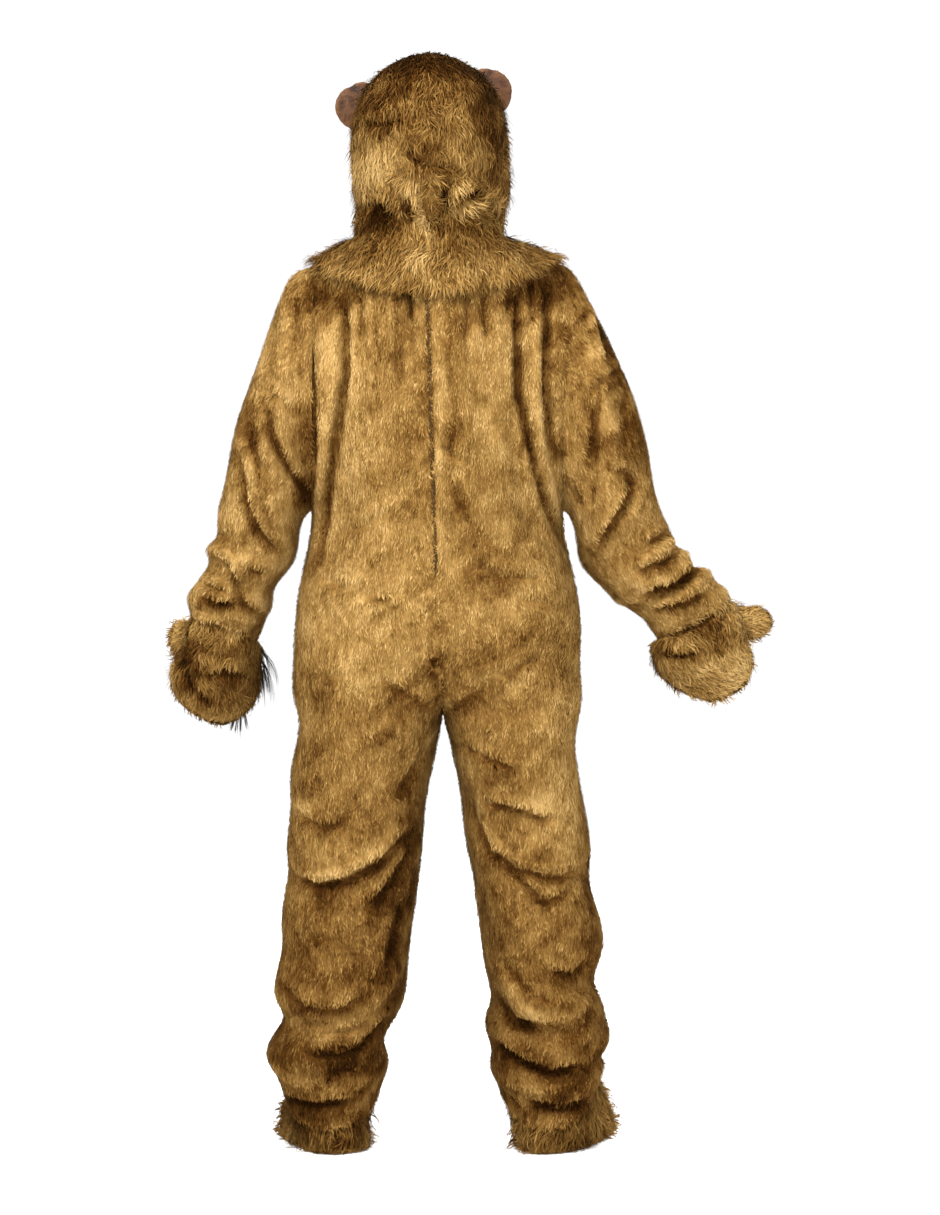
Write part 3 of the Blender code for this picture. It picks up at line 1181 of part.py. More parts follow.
def build_shoe(grids, normals, side):
    shoe = SHOES[side]
    inside = SUIT_WALL + REST_GAP
    upper = leg_ring(grids, side, -2) - (inside + SHOE_TUCK) * leg_ring(normals, side, -2)
    flat = leg_ring(normals, side, -1) * [1.0, 1.0, 0.0]
    hem = leg_ring(grids, side, -1) - inside * unit(flat)
    hem[:, 2] -= SHOE_RISE
    upper[:, 2] += SHOE_RISE
    turns = 2.0 * math.pi * np.arange(RING_COLUMNS) / RING_COLUMNS
    sole = []
    for t in turns:
        x, y = shoe.x, (shoe.heel + shoe.toe) / 2
        x -= side * shoe.half_width * round_power(math.cos(t), FULLNESS)
        y += (shoe.heel - shoe.toe) / 2 * round_power(math.sin(t), FULLNESS)
        sole.append((x + side * shoe.toe_out * (shoe.heel - y), y, 0.0))
    sole = np.array(sole)
    outer = [upper, hem]
    for ring in SOLES:
        line = mix(hem, sole, ring.grown)
        forward = (shoe.heel - line[:, 1]) / (shoe.heel - shoe.toe)
        line[:, 2] = mix(ring.z_heel, ring.z_toe, np.clip(forward, 0.0, 1.0))
        outer.append(line)
    outer = np.array(outer)
    out = ring_normals(outer, side)
    out[-1, :, 2] = 0.0
    out[0, :, 2] = 0.0
    out = unit(out)
    inner = outer - LONG_PILE_WALL * out
    wall(f"shoe_cover_{SIDE_NAMES[side]}", outer, inner, "long_plush", wrap=True)


# The tufts.


def build_tuft(tuft):
    """A narrow backing strip with tapered locks drawn out of its face, each by itself."""
    shape = bmesh.new()
    run = np.array([tuft.length_x, 0.0, tuft.length_z])
    upright = abs(tuft.length_z) > abs(tuft.length_x)
    out = np.array([-1.0, 0.0, 0.0]) if upright else np.array([0.0, 0.0, -1.0])
    start = np.array([tuft.x, tuft.y, tuft.z])
    rails = []
    for lift in (0.0, TUFT_STRIP):
        for edge in (-0.5, 0.5):
            corner = start + lift * out + [0.0, edge * TUFT_STRIP, 0.0]
            steps = [corner + run * k / tuft.locks for k in range(tuft.locks + 1)]
            rails.append([shape.verts.new(p) for p in steps])
    low_a, low_b, high_a, high_b = rails
    tops = []
    for k in range(tuft.locks):
        shape.faces.new((low_a[k], low_b[k], low_b[k + 1], low_a[k + 1]))
        shape.faces.new((low_a[k], low_a[k + 1], high_a[k + 1], high_a[k]))
        shape.faces.new((low_b[k], high_b[k], high_b[k + 1], low_b[k + 1]))
        tops.append(shape.faces.new((high_a[k], high_a[k + 1], high_b[k + 1], high_b[k])))
    shape.faces.new((low_a[0], high_a[0], high_b[0], low_b[0]))
    shape.faces.new((low_a[-1], low_b[-1], high_b[-1], high_a[-1]))
    bmesh.ops.inset_individual(shape, faces=tops, thickness=TUFT_MARGIN)
    for k, grown in enumerate(tops):
        place = k / (tuft.locks - 1)
        reach = mix(tuft.reach_0, tuft.reach_1, place)
        varied = 1.0 + TUFT_VARIES * math.sin(TUFT_WAVE * k)
        droop = mix(tuft.droop_0, tuft.droop_1, place) * varied
        root = grown.calc_center_median()
        before = 1.0
        for step in range(1, TUFT_SEGMENTS + 1):
            share = step / TUFT_SEGMENTS
            turn = 0.5 * math.pi * share
            away = (reach * math.sin(turn), 0.0, -droop * (1.0 - math.cos(turn)))
            if not upright:
                away = (reach * share, 0.0, -droop * share)
            grown = bmesh.ops.extrude_discrete_faces(shape, faces=[grown])["faces"][0]
            middle = grown.calc_center_median()
            thick = 1.0 - TUFT_TAPER * share
            for vert in grown.verts:
                vert.co = root + (vert.co - middle) * (thick / before)
                vert.co += Vector(away)
            before = thick
    bmesh.ops.triangulate(shape, faces=shape.faces)
    add_object(tuft.name, shape, "hair")


def main():
    clear_scene()
    grids, normals = folded_suit()
    build_body(grids, normals)
    build_zip(grids, normals)
    for side in SIDE_NAMES:
        sleeve, out = folded_sleeve(grids, side)
        build_sleeve(sleeve, out, side)
        build_mitten(sleeve, out, side)
        build_shoe(grids, normals, side)
        build_ear(side)
    build_hood()
    build_mask()
    build_cape(grids, normals)
    for tuft in TUFTS:
        build_tuft(tuft)


main()
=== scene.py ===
"""Bear costume: plush, long fur, moulded latex, zip and hair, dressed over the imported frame."""

import math
from collections import namedtuple

import bmesh
import bpy
import numpy as np
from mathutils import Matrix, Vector, noise
from mathutils.bvhtree import BVHTree
from mathutils.kdtree import KDTree


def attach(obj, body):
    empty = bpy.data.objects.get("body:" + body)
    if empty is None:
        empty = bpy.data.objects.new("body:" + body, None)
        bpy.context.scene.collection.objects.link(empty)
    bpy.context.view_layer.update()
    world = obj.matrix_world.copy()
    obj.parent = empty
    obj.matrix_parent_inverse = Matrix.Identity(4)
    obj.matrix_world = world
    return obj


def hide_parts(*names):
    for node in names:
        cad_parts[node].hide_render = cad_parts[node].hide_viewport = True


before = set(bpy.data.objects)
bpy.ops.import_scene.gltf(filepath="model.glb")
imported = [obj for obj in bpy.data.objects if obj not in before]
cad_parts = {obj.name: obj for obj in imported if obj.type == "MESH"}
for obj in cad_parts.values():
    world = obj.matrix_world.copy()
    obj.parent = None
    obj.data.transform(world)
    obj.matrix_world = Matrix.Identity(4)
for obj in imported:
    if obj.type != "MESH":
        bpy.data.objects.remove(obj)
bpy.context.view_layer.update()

LEFT, RIGHT = 1, -1
SUIT_WALL = 0.006
LONG_PILE_WALL = 0.009
MITTEN_WALL = 0.006
SAME_POINT = 1e-5
WALL_SLACK = 4e-6
RIM_FACING = 0.3
CLOTH_THICK = 0.0016
SUIT_PILE = 0.0034
LONG_PILE = 0.0058
MITTEN_PILE = 0.0036

# The photograph's scale, and where its own frame lies on the garment.
PHOTO_SCALE = 0.001664
ZERO_COLUMN, ZERO_ROW = 437, 262
PHOTO_HEIGHT = 1215
CENTRE_X, CENTRE_Z = -0.0549, -0.575
CAMERA_DISTANCE = 4.6
FLOOR_Z = -1.466
CLEAR_OF_FLOOR = 0.002
BELOW_SOLES = 0.0005


# Finishes.


def new_material(name, roughness):
    """A material, with its node tree and its shader."""
    made = bpy.data.materials.new(name)
    made.use_nodes = True
    tree = made.node_tree
    shader = tree.nodes["Principled BSDF"]
    shader.inputs["Roughness"].default_value = roughness
    return made, tree, shader


def ramp(tree, source, stops):
    """A colour ramp from (place, colour) stops."""
    node = tree.nodes.new("ShaderNodeValToRGB")
    elements = node.color_ramp.elements
    while len(elements) < len(stops):
        elements.new(0.5)
    for element, (place, colour) in zip(elements, stops):
        element.position = place
        element.color = (*colour, 1.0)
    tree.links.new(source, node.inputs["Fac"])
    return node.outputs["Color"]


def noise_of(tree, scale, detail=3.0, stretch=(1.0, 1.0, 1.0)):
    """Noise on object coordinates, finer along each axis by its own stretch."""
    place = tree.nodes.new("ShaderNodeTexCoord")
    fit = tree.nodes.new("ShaderNodeMapping")
    fit.inputs["Scale"].default_value = stretch
    made = tree.nodes.new("ShaderNodeTexNoise")
    made.inputs["Scale"].default_value = scale
    made.inputs["Detail"].default_value = detail
    made.inputs["Roughness"].default_value = 0.6
    tree.links.new(place.outputs["Object"], fit.inputs["Vector"])
    tree.links.new(fit.outputs["Vector"], made.inputs["Vector"])
    return made.outputs["Fac"]


def attribute(tree, name):
    node = tree.nodes.new("ShaderNodeAttribute")
    node.attribute_name = name
    return node.outputs["Fac"]


def maths(tree, kind, first, second):
    """A math node on two sockets or numbers."""
    node = tree.nodes.new("ShaderNodeMath")
    node.operation = kind
    for socket, value in zip(node.inputs, (first, second)):
        if isinstance(value, (int, float)):
            socket.default_value = value
        else:
            tree.links.new(value, socket)
    return node.outputs["Value"]


def varied(tree, base, field, share):
    """A socket made uneven: base + share * (field - 0.5)."""
    return maths(tree, "ADD", base, maths(tree, "MULTIPLY", maths(tree, "SUBTRACT", field, 0.5), share))


def tinted(tree, kind, share, first, second):
    """A colour mix. share, first and second are sockets or values."""
    node = tree.nodes.new("ShaderNodeMix")
    node.data_type = "RGBA"
    node.blend_type = kind
    colours = [s for s in node.inputs if s.type == "RGBA"]
    factor = [s for s in node.inputs if s.type == "VALUE"][0]
    for socket, value in ((factor, share), (colours[0], first), (colours[1], second)):
        if isinstance(value, (int, float)):
            socket.default_value = value
        elif isinstance(value, tuple):
            socket.default_value = (*value, 1.0)
        else:
            tree.links.new(value, socket)
    return [s for s in node.outputs if s.type == "RGBA"][0]


def bumped(tree, shader, height, strength, distance):
    node = tree.nodes.new("ShaderNodeBump")
    node.inputs["Strength"].default_value = strength
    node.inputs["Distance"].default_value = distance
    tree.links.new(height, node.inputs["Height"])
    tree.links.new(node.outputs["Normal"], shader.inputs["Normal"])


PLUSH_STOPS = [
    (0.00, (0.012, 0.0045, 0.0010)),
    (0.30, (0.070, 0.0290, 0.0060)),
    (0.55, (0.164, 0.0860, 0.0220)),
    (0.78, (0.280, 0.1640, 0.0500)),
    (1.00, (0.430, 0.2780, 0.1050)),
]
# Darker towards the locks' roots: painted shade down among the hair.
ROOT_SHADE_STOPS = [(0.0, (0.62, 0.57, 0.48)), (0.4, (0.93, 0.92, 0.89)), (1.0, (1.0, 1.0, 1.0))]


def painted(tree, shader, source, stops):
    """A base colour from a ramp."""
    tree.links.new(ramp(tree, source, stops), shader.inputs["Base Color"])


def fur_material(name, grain):
    """Hair coloured by its own tone, with painted shade towards its root by how near it is to its tip."""
    made, tree, shader = new_material(name, 0.75)
    shader.inputs["Specular IOR Level"].default_value = 0.0
    shader.inputs["Sheen Weight"].default_value = 0.03
    shader.inputs["Sheen Roughness"].default_value = 0.40
    shader.inputs["Sheen Tint"].default_value = (1.0, 0.74, 0.38, 1.0)
    fine = noise_of(tree, grain, 2.0, (1.0, 1.0, 0.35))
    tone = varied(tree, attribute(tree, "tone"), fine, 0.35)
    body = ramp(tree, tone, PLUSH_STOPS)
    # Painted shade: the locks darkest at the root, full colour at the tip.
    root = ramp(tree, attribute(tree, "tip"), ROOT_SHADE_STOPS)
    tree.links.new(tinted(tree, "MULTIPLY", 1.0, body, root), shader.inputs["Base Color"])
    return made


def plush_material():
    """The pile's own base, seen between the locks: darker as painted shade among them, and streaked down the nap.
    """
    made, tree, shader = new_material("plush base", 0.85)
    shader.inputs["Specular IOR Level"].default_value = 0.0
    streaks = noise_of(tree, 420.0, 3.0, (1.0, 1.0, 0.28))
    painted(tree, shader, varied(tree, attribute(tree, "tone"), streaks, 0.4), PLUSH_STOPS)
    bumped(tree, shader, streaks, 0.7, 0.002)
    return made


def backing_material():
    """The knitted back of the plush: fine courses and wales."""
    made, tree, shader = new_material("knit backing", 0.9)
    place = tree.nodes.new("ShaderNodeTexCoord")
    wales = tree.nodes.new("ShaderNodeTexWave")
    wales.bands_direction = "X"
    wales.inputs["Scale"].default_value = 180.0
    wales.inputs["Distortion"].default_value = 1.2
    courses = tree.nodes.new("ShaderNodeTexWave")
    courses.bands_direction = "Z"
    courses.inputs["Scale"].default_value = 220.0
    courses.inputs["Distortion"].default_value = 1.2
    for wave in (wales, courses):
        tree.links.new(place.outputs["Object"], wave.inputs["Vector"])
    knit = maths(tree, "MULTIPLY", wales.outputs["Fac"], courses.outputs["Fac"])
    painted(tree, shader, knit, [(0.0, (0.10, 0.055, 0.022)), (1.0, (0.26, 0.155, 0.070))])
    bumped(tree, shader, knit, 0.5, 0.0008)
    return made


LATEX_STOPS = [
    (0.00, (0.006, 0.002, 0.001)),
    (0.35, (0.030, 0.011, 0.004)),
    (0.60, (0.070, 0.028, 0.010)),
    (1.00, (0.150, 0.070, 0.028)),
]


def latex_material():
    """Moulded brown latex: lighter on the high parts and darker in the folds, as painted shade."""
    made, tree, shader = new_material("painted latex", 0.42)
    shader.inputs["Specular IOR Level"].default_value = 0.12
    shader.inputs["Coat Weight"].default_value = 0.02
    shader.inputs["Coat Roughness"].default_value = 0.25
    blotches = noise_of(tree, 38.0, 4.0)
    # The relief colours it: painted shade in the folds and hollows, lighter on the high parts.
    painted(tree, shader, varied(tree, attribute(tree, "relief"), blotches, 0.35), LATEX_STOPS)
    pores = noise_of(tree, 900.0, 2.0)
    wrinkles = noise_of(tree, 160.0, 4.0, (1.0, 1.0, 0.35))
    bumped(tree, shader, maths(tree, "ADD", pores, maths(tree, "MULTIPLY", wrinkles, 3.0)), 0.55, 0.0016)
    return made


def nose_material():
    made, tree, shader = new_material("nose gloss", 0.38)
    shader.inputs["Specular IOR Level"].default_value = 0.25
    shader.inputs["Coat Weight"].default_value = 0.08
    shader.inputs["Coat Roughness"].default_value = 0.25
    grain = tree.nodes.new("ShaderNodeTexVoronoi")
    grain.inputs["Scale"].default_value = 420.0
    place = tree.nodes.new("ShaderNodeTexCoord")
    tree.links.new(place.outputs["Object"], grain.inputs["Vector"])
    stops = [(0.0, (0.020, 0.014, 0.012)), (1.0, (0.006, 0.005, 0.005))]
    painted(tree, shader, grain.outputs["Distance"], stops)
    bumped(tree, shader, grain.outputs["Distance"], 0.5, 0.0008)
    return made


def hair_material():
    made, tree, shader = new_material("black hair", 0.5)
    shader.inputs["Specular IOR Level"].default_value = 0.25
    grain = noise_of(tree, 700.0, 2.0, (1.0, 1.0, 0.1))
    painted(tree, shader, grain, [(0.25, (0.004, 0.003, 0.003)), (0.75, (0.028, 0.021, 0.017))])
    return made


def tape_material():
    made, tree, shader = new_material("zip tape", 0.9)
    shader.inputs["Specular IOR Level"].default_value = 0.0
    place = tree.nodes.new("ShaderNodeTexCoord")
    weave = tree.nodes.new("ShaderNodeTexWave")
    weave.bands_direction = "DIAGONAL"
    weave.inputs["Scale"].default_value = 260.0
    tree.links.new(place.outputs["Object"], weave.inputs["Vector"])
    painted(tree, shader, weave.outputs["Fac"], [(0.0, (0.036, 0.018, 0.005)), (1.0, (0.075, 0.040, 0.012))])
    bumped(tree, shader, weave.outputs["Fac"], 0.5, 0.0004)
    return made


def teeth_material():
    made, tree, shader = new_material("zip teeth", 0.45)
    shader.inputs["Specular IOR Level"].default_value = 0.06
    wear = noise_of(tree, 300.0, 2.0)
    painted(tree, shader, wear, [(0.3, (0.030, 0.016, 0.005)), (0.7, (0.075, 0.042, 0.014))])
    return made


FINISH = {
    "plush": plush_material(),
    "backing": backing_material(),
    "fur": fur_material("short fur", 260.0),
    "long fur": fur_material("long fur", 200.0),
    "latex": latex_material(),
    "nose": nose_material(),
    "hair": hair_material(),
    "tape": tape_material(),
    "teeth": teeth_material(),
}


# Meshes and arrays.


def add_piece(name, mesh, *finishes):
    """A named object from a mesh, with its materials."""
    mesh.name = name
    mesh.materials.clear()
    for finish in finishes:
        mesh.materials.append(FINISH[finish])
    made = bpy.data.objects.new(name, mesh)
    bpy.context.scene.collection.objects.link(made)
    return made


def mesh_of(shape):
    mesh = bpy.data.meshes.new("shape")
    shape.to_mesh(mesh)
    shape.free()
    return mesh


def evaluated(mesh, *steps):
    """The mesh after the modifiers that steps add to a passing object."""
    carrier = bpy.data.objects.new("carrier", mesh)
    bpy.context.scene.collection.objects.link(carrier)
    for step in steps:
        step(carrier)
    ready = carrier.evaluated_get(bpy.context.evaluated_depsgraph_get())
    made = bpy.data.meshes.new_from_object(ready)
    bpy.data.objects.remove(carrier)
    bpy.data.meshes.remove(mesh)
    return made


def smoothed(levels):
    def step(carrier):
        rounding = carrier.modifiers.new("rounding", "SUBSURF")
        rounding.levels = levels
        rounding.render_levels = levels
        rounding.boundary_smooth = "PRESERVE_CORNERS"

    return step


def thickened(thick):
    def step(carrier):
        cloth = carrier.modifiers.new("cloth", "SOLIDIFY")
        cloth.thickness = thick
        cloth.offset = -1.0
        cloth.material_offset = 1
        cloth.material_offset_rim = 1

    return step


def points_of(mesh):
    points = np.empty(3 * len(mesh.vertices))
    mesh.vertices.foreach_get("co", points)
    return points.reshape(-1, 3)


def normals_of(mesh):
    normals = np.empty(3 * len(mesh.vertices), np.float32)
    mesh.vertex_normals.foreach_get("vector", normals)
    return normals.reshape(-1, 3).astype(float)


def triangles_of(mesh):
    mesh.calc_loop_triangles()
    triangles = np.empty(3 * len(mesh.loop_triangles), np.int32)
    mesh.loop_triangles.foreach_get("vertices", triangles)
    return triangles.reshape(-1, 3)


def set_points(mesh, points):
    mesh.vertices.foreach_set("co", points.ravel())
    mesh.update()


def set_attribute(mesh, name, values):
    layer = mesh.attributes.new(name, "FLOAT", "POINT")
    layer.data.foreach_set("value", np.asarray(values, np.float32))


def unit(vectors):
    return vectors / np.maximum(np.linalg.norm(vectors, axis=-1, keepdims=True), 1e-9)


def mix(a, b, share):
    return a + (b - a) * share


def ripple(points, size, seed):
    """A smooth uneven field, about -1 to 1, that changes over about the given size."""
    rng = np.random.default_rng(seed)
    total = np.zeros(len(points))
    for _ in range(7):
        wave = rng.normal(size=3)
        wave = wave / np.linalg.norm(wave) * (2.0 * math.pi / size) * rng.uniform(0.4, 1.1)
        total += np.sin(points @ wave + rng.uniform(0.0, 2.0 * math.pi))
    return total / 3.0


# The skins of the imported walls.


def outer_skin(node, wall):
    """The outer skin alone of a walled node, as quads where its triangles pair."""
    shape = bmesh.new()
    shape.from_mesh(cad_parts[node].data)
    bmesh.ops.remove_doubles(shape, verts=shape.verts, dist=SAME_POINT)
    shape.verts.ensure_lookup_table()
    shape.faces.ensure_lookup_table()
    tree = KDTree(len(shape.verts))
    for vert in shape.verts:
        tree.insert(vert.co, vert.index)
    tree.balance()
    across, through = {}, {}
    for vert in shape.verts:
        near = [(abs(away - wall), i) for _, i, away in tree.find_range(vert.co, 1.03 * wall)]
        least, twin = min(near)
        across[vert.index] = {i for off, i in near if off <= max(least, WALL_SLACK)}
        through[vert.index] = (shape.verts[twin].co - vert.co).normalized()
    rim = set()
    for face in shape.faces:
        paired = any(b.index in across[a.index] for a in face.verts for b in face.verts)
        facing = sum(abs(face.normal.dot(through[v.index])) for v in face.verts) / len(face.verts)
        if paired or facing < RIM_FACING:
            rim.add(face.index)
    group_of, areas = {}, []
    for face in shape.faces:
        if face.index in rim or face.index in group_of:
            continue
        todo, area = [face], 0.0
        group_of[face.index] = len(areas)
        while todo:
            taken = todo.pop()
            area += taken.calc_area()
            for edge in taken.edges:
                for other in edge.link_faces:
                    if other.index not in rim and other.index not in group_of:
                        group_of[other.index] = len(areas)
                        todo.append(other)
        areas.append(area)
    best = int(np.argmax(areas))
    others = [f for f in shape.faces if group_of.get(f.index) != best]
    bmesh.ops.delete(shape, geom=others, context="FACES")
    bmesh.ops.join_triangles(
        shape, faces=shape.faces, angle_face_threshold=math.pi, angle_shape_threshold=math.pi
    )
    return shape


# A fold's line and a patch's place are given as places in the photograph, in its own pixels. Those in
# front are given as if seen through the garment. Heights and widths are in millimetres, and a negative
# height is a trough, which the cloth above it bulges over.
Fold = namedtuple("Fold", "line height width")
BACK_FOLDS = [
    # Gathers that hang from below the cape.
    Fold(((346, 296), (347, 380), (338, 444), (318, 565)), -12, 7),
    Fold(((308, 328), (315, 400), (315, 485)), -8, 7),
    Fold(((328, 300), (324, 420), (317, 560)), 4, 8),
    Fold(((297, 275), (300, 330)), -5, 6),
    Fold(((312, 278), (314, 325)), -5, 6),
    Fold(((326, 285), (328, 330)), -4, 6),
    Fold(((362, 300), (364, 350)), -6, 5),
    Fold(((377, 300), (380, 395)), -3, 6),
    Fold(((385, 300), (388, 360)), -3, 6),
    Fold(((400, 300), (402, 400)), -3, 6),
    Fold(((411, 296), (413, 330)), -8, 5),
    Fold(((437, 298), (440, 400), (442, 520), (444, 600)), 3, 5),
    Fold(((452, 369), (457, 414), (449, 481)), -4, 9),
    Fold(((466, 298), (468, 350)), -5, 6),
    Fold(((484, 297), (487, 345)), -6, 6),
    Fold(((497, 296), (502, 360)), 3, 6),
    Fold(((507, 290), (509, 320)), -6, 5),
    Fold(((516, 296), (518, 400), (529, 446), (545, 500), (566, 545)), -13, 7),
    Fold(((534, 300), (535, 390), (541, 450), (556, 510)), 4, 8),
    Fold(((528, 285), (532, 325)), -6, 6),
    Fold(((541, 280), (546, 305)), -4, 6),
    Fold(((548, 300), (545, 390), (551, 450)), -9, 7),
    # Slack over the waist and seat, a pucker and a tuck.
    Fold(((449, 481), (478, 535), (520, 570)), -4, 10),
    Fold(((481, 574), (520, 580), (545, 575)), -4, 9),
    Fold(((441, 455), (470, 470)), -3, 8),
    Fold(((395, 515), (347, 535)), -3, 9),
    Fold(((461, 562), (509, 550)), 3, 10),
    Fold(((389, 598), (360, 592), (323, 580)), -3, 9),
    Fold(((369, 597), (385, 601), (399, 606)), -6, 5),
    Fold(((399, 606), (384, 612), (372, 622)), -6, 5),
    Fold(((384, 606), (395, 612)), 5, 6),
    Fold(((441, 652), (428, 664)), -6, 5),
    Fold(((433, 676), (455, 648)), -4, 7),
    Fold(((515, 598), (563, 610)), -3, 8),
    Fold(((539, 658), (505, 672), (473, 682)), -4, 8),
    Fold(((347, 676), (302, 670)), -3, 8),
    # Drag lines from the crotch.
    Fold(((448, 709), (470, 695), (491, 682)), -5, 7),
    Fold(((434, 709), (410, 695), (383, 676)), -5, 7),
    Fold(((455, 742), (515, 766)), -5, 7),
    Fold(((431, 742), (401, 790)), -5, 7),
    # The left leg.
    Fold(((292, 807), (320, 822), (343, 819), (362, 788)), -6, 8),
    Fold(((292, 872), (320, 881), (354, 873), (385, 858), (420, 822)), -11, 9),
    Fold(((277, 845), (292, 868)), -6, 6),
    Fold(((373, 898), (392, 880), (408, 856), (420, 832)), -9, 8),
    Fold(((390, 955), (400, 925), (405, 895)), -8, 8),
    Fold(((310, 925), (340, 935)), -3, 9),
    Fold(((275, 985), (292, 1013), (318, 1022), (358, 1012), (384, 986), (408, 950)), 7, 9),
    Fold(((285, 975), (305, 998), (340, 1002), (372, 985)), -7, 9),
    Fold(((310, 1038), (340, 1042), (366, 1036), (398, 1008)), -12, 9),
    Fold(((330, 1058), (362, 1060)), -8, 10),
    Fold(((268, 1045), (285, 1066), (310, 1078), (352, 1080), (378, 1062)), 6, 9),
    Fold(((288, 1091), (320, 1094), (352, 1090)), -11, 7),
    Fold(((385, 1043), (388, 1070)), 4, 6),
    Fold(((283, 1110), (306, 1119), (343, 1126), (372, 1120)), -6, 7),
    # The right leg.
    Fold(((486, 798), (519, 806), (548, 816)), -9, 7),
    Fold(((458, 774), (474, 815), (488, 847), (519, 866), (559, 873), (586, 862)), -8, 9),
    Fold(((472, 800), (492, 838), (520, 855)), 5, 8),
    Fold(((502, 861), (525, 880), (547, 897)), -6, 7),
    Fold(((530, 897), (556, 890), (573, 880)), -6, 6),
    Fold(((577, 868), (590, 880), (595, 905)), -6, 6),
    Fold(((550, 963), (573, 968), (592, 948)), -9, 8),
    Fold(((480, 880), (485, 920)), -3, 8),
    Fold(((497, 962), (519, 996), (547, 1008), (575, 1001), (589, 990)), 6, 9),
    Fold(((505, 955), (530, 985), (552, 990)), -5, 8),
    Fold(((493, 990), (510, 1012), (530, 1018)), -9, 9),
    Fold(((497, 1022), (530, 1029), (561, 1043), (589, 1022)), 6, 8),
    Fold(((490, 1034), (519, 1051), (549, 1061), (580, 1056)), -12, 8),
    Fold(((500, 1072), (530, 1075), (560, 1078)), 5, 8),
    Fold(((530, 1092), (556, 1097), (584, 1093)), -11, 7),
    Fold(((500, 1085), (520, 1102)), -5, 7),
    Fold(((498, 1128), (530, 1131), (560, 1133), (596, 1120)), -6, 7),
]
FRONT_FOLDS = [
    Fold(((353, 322), (350, 390), (343, 460)), -8, 8),
    Fold(((371, 322), (366, 406)), -6, 7),
    Fold(((390, 328), (388, 388)), 4, 9),
    Fold(((407, 328), (405, 418)), -6, 7),
    Fold(((427, 334), (429, 394)), -5, 7),
    Fold(((454, 328), (456, 406)), -6, 7),
    Fold(((473, 328), (478, 382)), 4, 8),
    Fold(((492, 325), (500, 412)), -6, 7),
    Fold(((518, 322), (520, 400), (527, 460)), -9, 8),
    Fold(((401, 514), (371, 529), (341, 532)), -4, 11),
    Fold(((467, 520), (497, 540), (527, 544)), -4, 11),
    Fold(((383, 593), (350, 595), (317, 581)), -5, 11),
    Fold(((479, 605), (518, 607), (557, 593)), -5, 11),
    Fold(((431, 707), (377, 677)), -6, 9),
    Fold(((453, 707), (503, 677)), -6, 9),
    Fold(((419, 743), (392, 761), (365, 773)), -6, 9),
    Fold(((467, 743), (497, 761), (527, 773)), -6, 9),
    Fold(((293, 803), (332, 815), (371, 809)), -7, 9),
    Fold(((581, 806), (542, 821), (503, 815)), -7, 9),
    Fold(((296, 863), (342, 872), (389, 857)), 6, 10),
    Fold(((299, 884), (344, 890), (386, 872)), -7, 8),
    Fold(((581, 869), (539, 878), (497, 863)), 6, 10),
    Fold(((579, 888), (541, 896), (500, 880)), -7, 8),
    Fold(((293, 929), (326, 933), (359, 923)), -7, 7),
    Fold(((590, 953), (559, 960), (527, 953)), -7, 7),
    Fold(((296, 971), (336, 972), (377, 959)), -7, 8),
    Fold(((587, 998), (551, 1007), (515, 1001)), -9, 8),
    Fold(((287, 1016), (323, 1019), (359, 1010)), -10, 8),
    Fold(((594, 1031), (558, 1039), (521, 1037)), -9, 8),
    Fold(((280, 1048), (313, 1056), (347, 1051)), -10, 8),
    Fold(((593, 1066), (563, 1071), (533, 1066)), -9, 8),
    Fold(((284, 1088), (318, 1094), (356, 1088)), -9, 7),
    Fold(((516, 1094), (552, 1100), (590, 1092)), -9, 7),
]
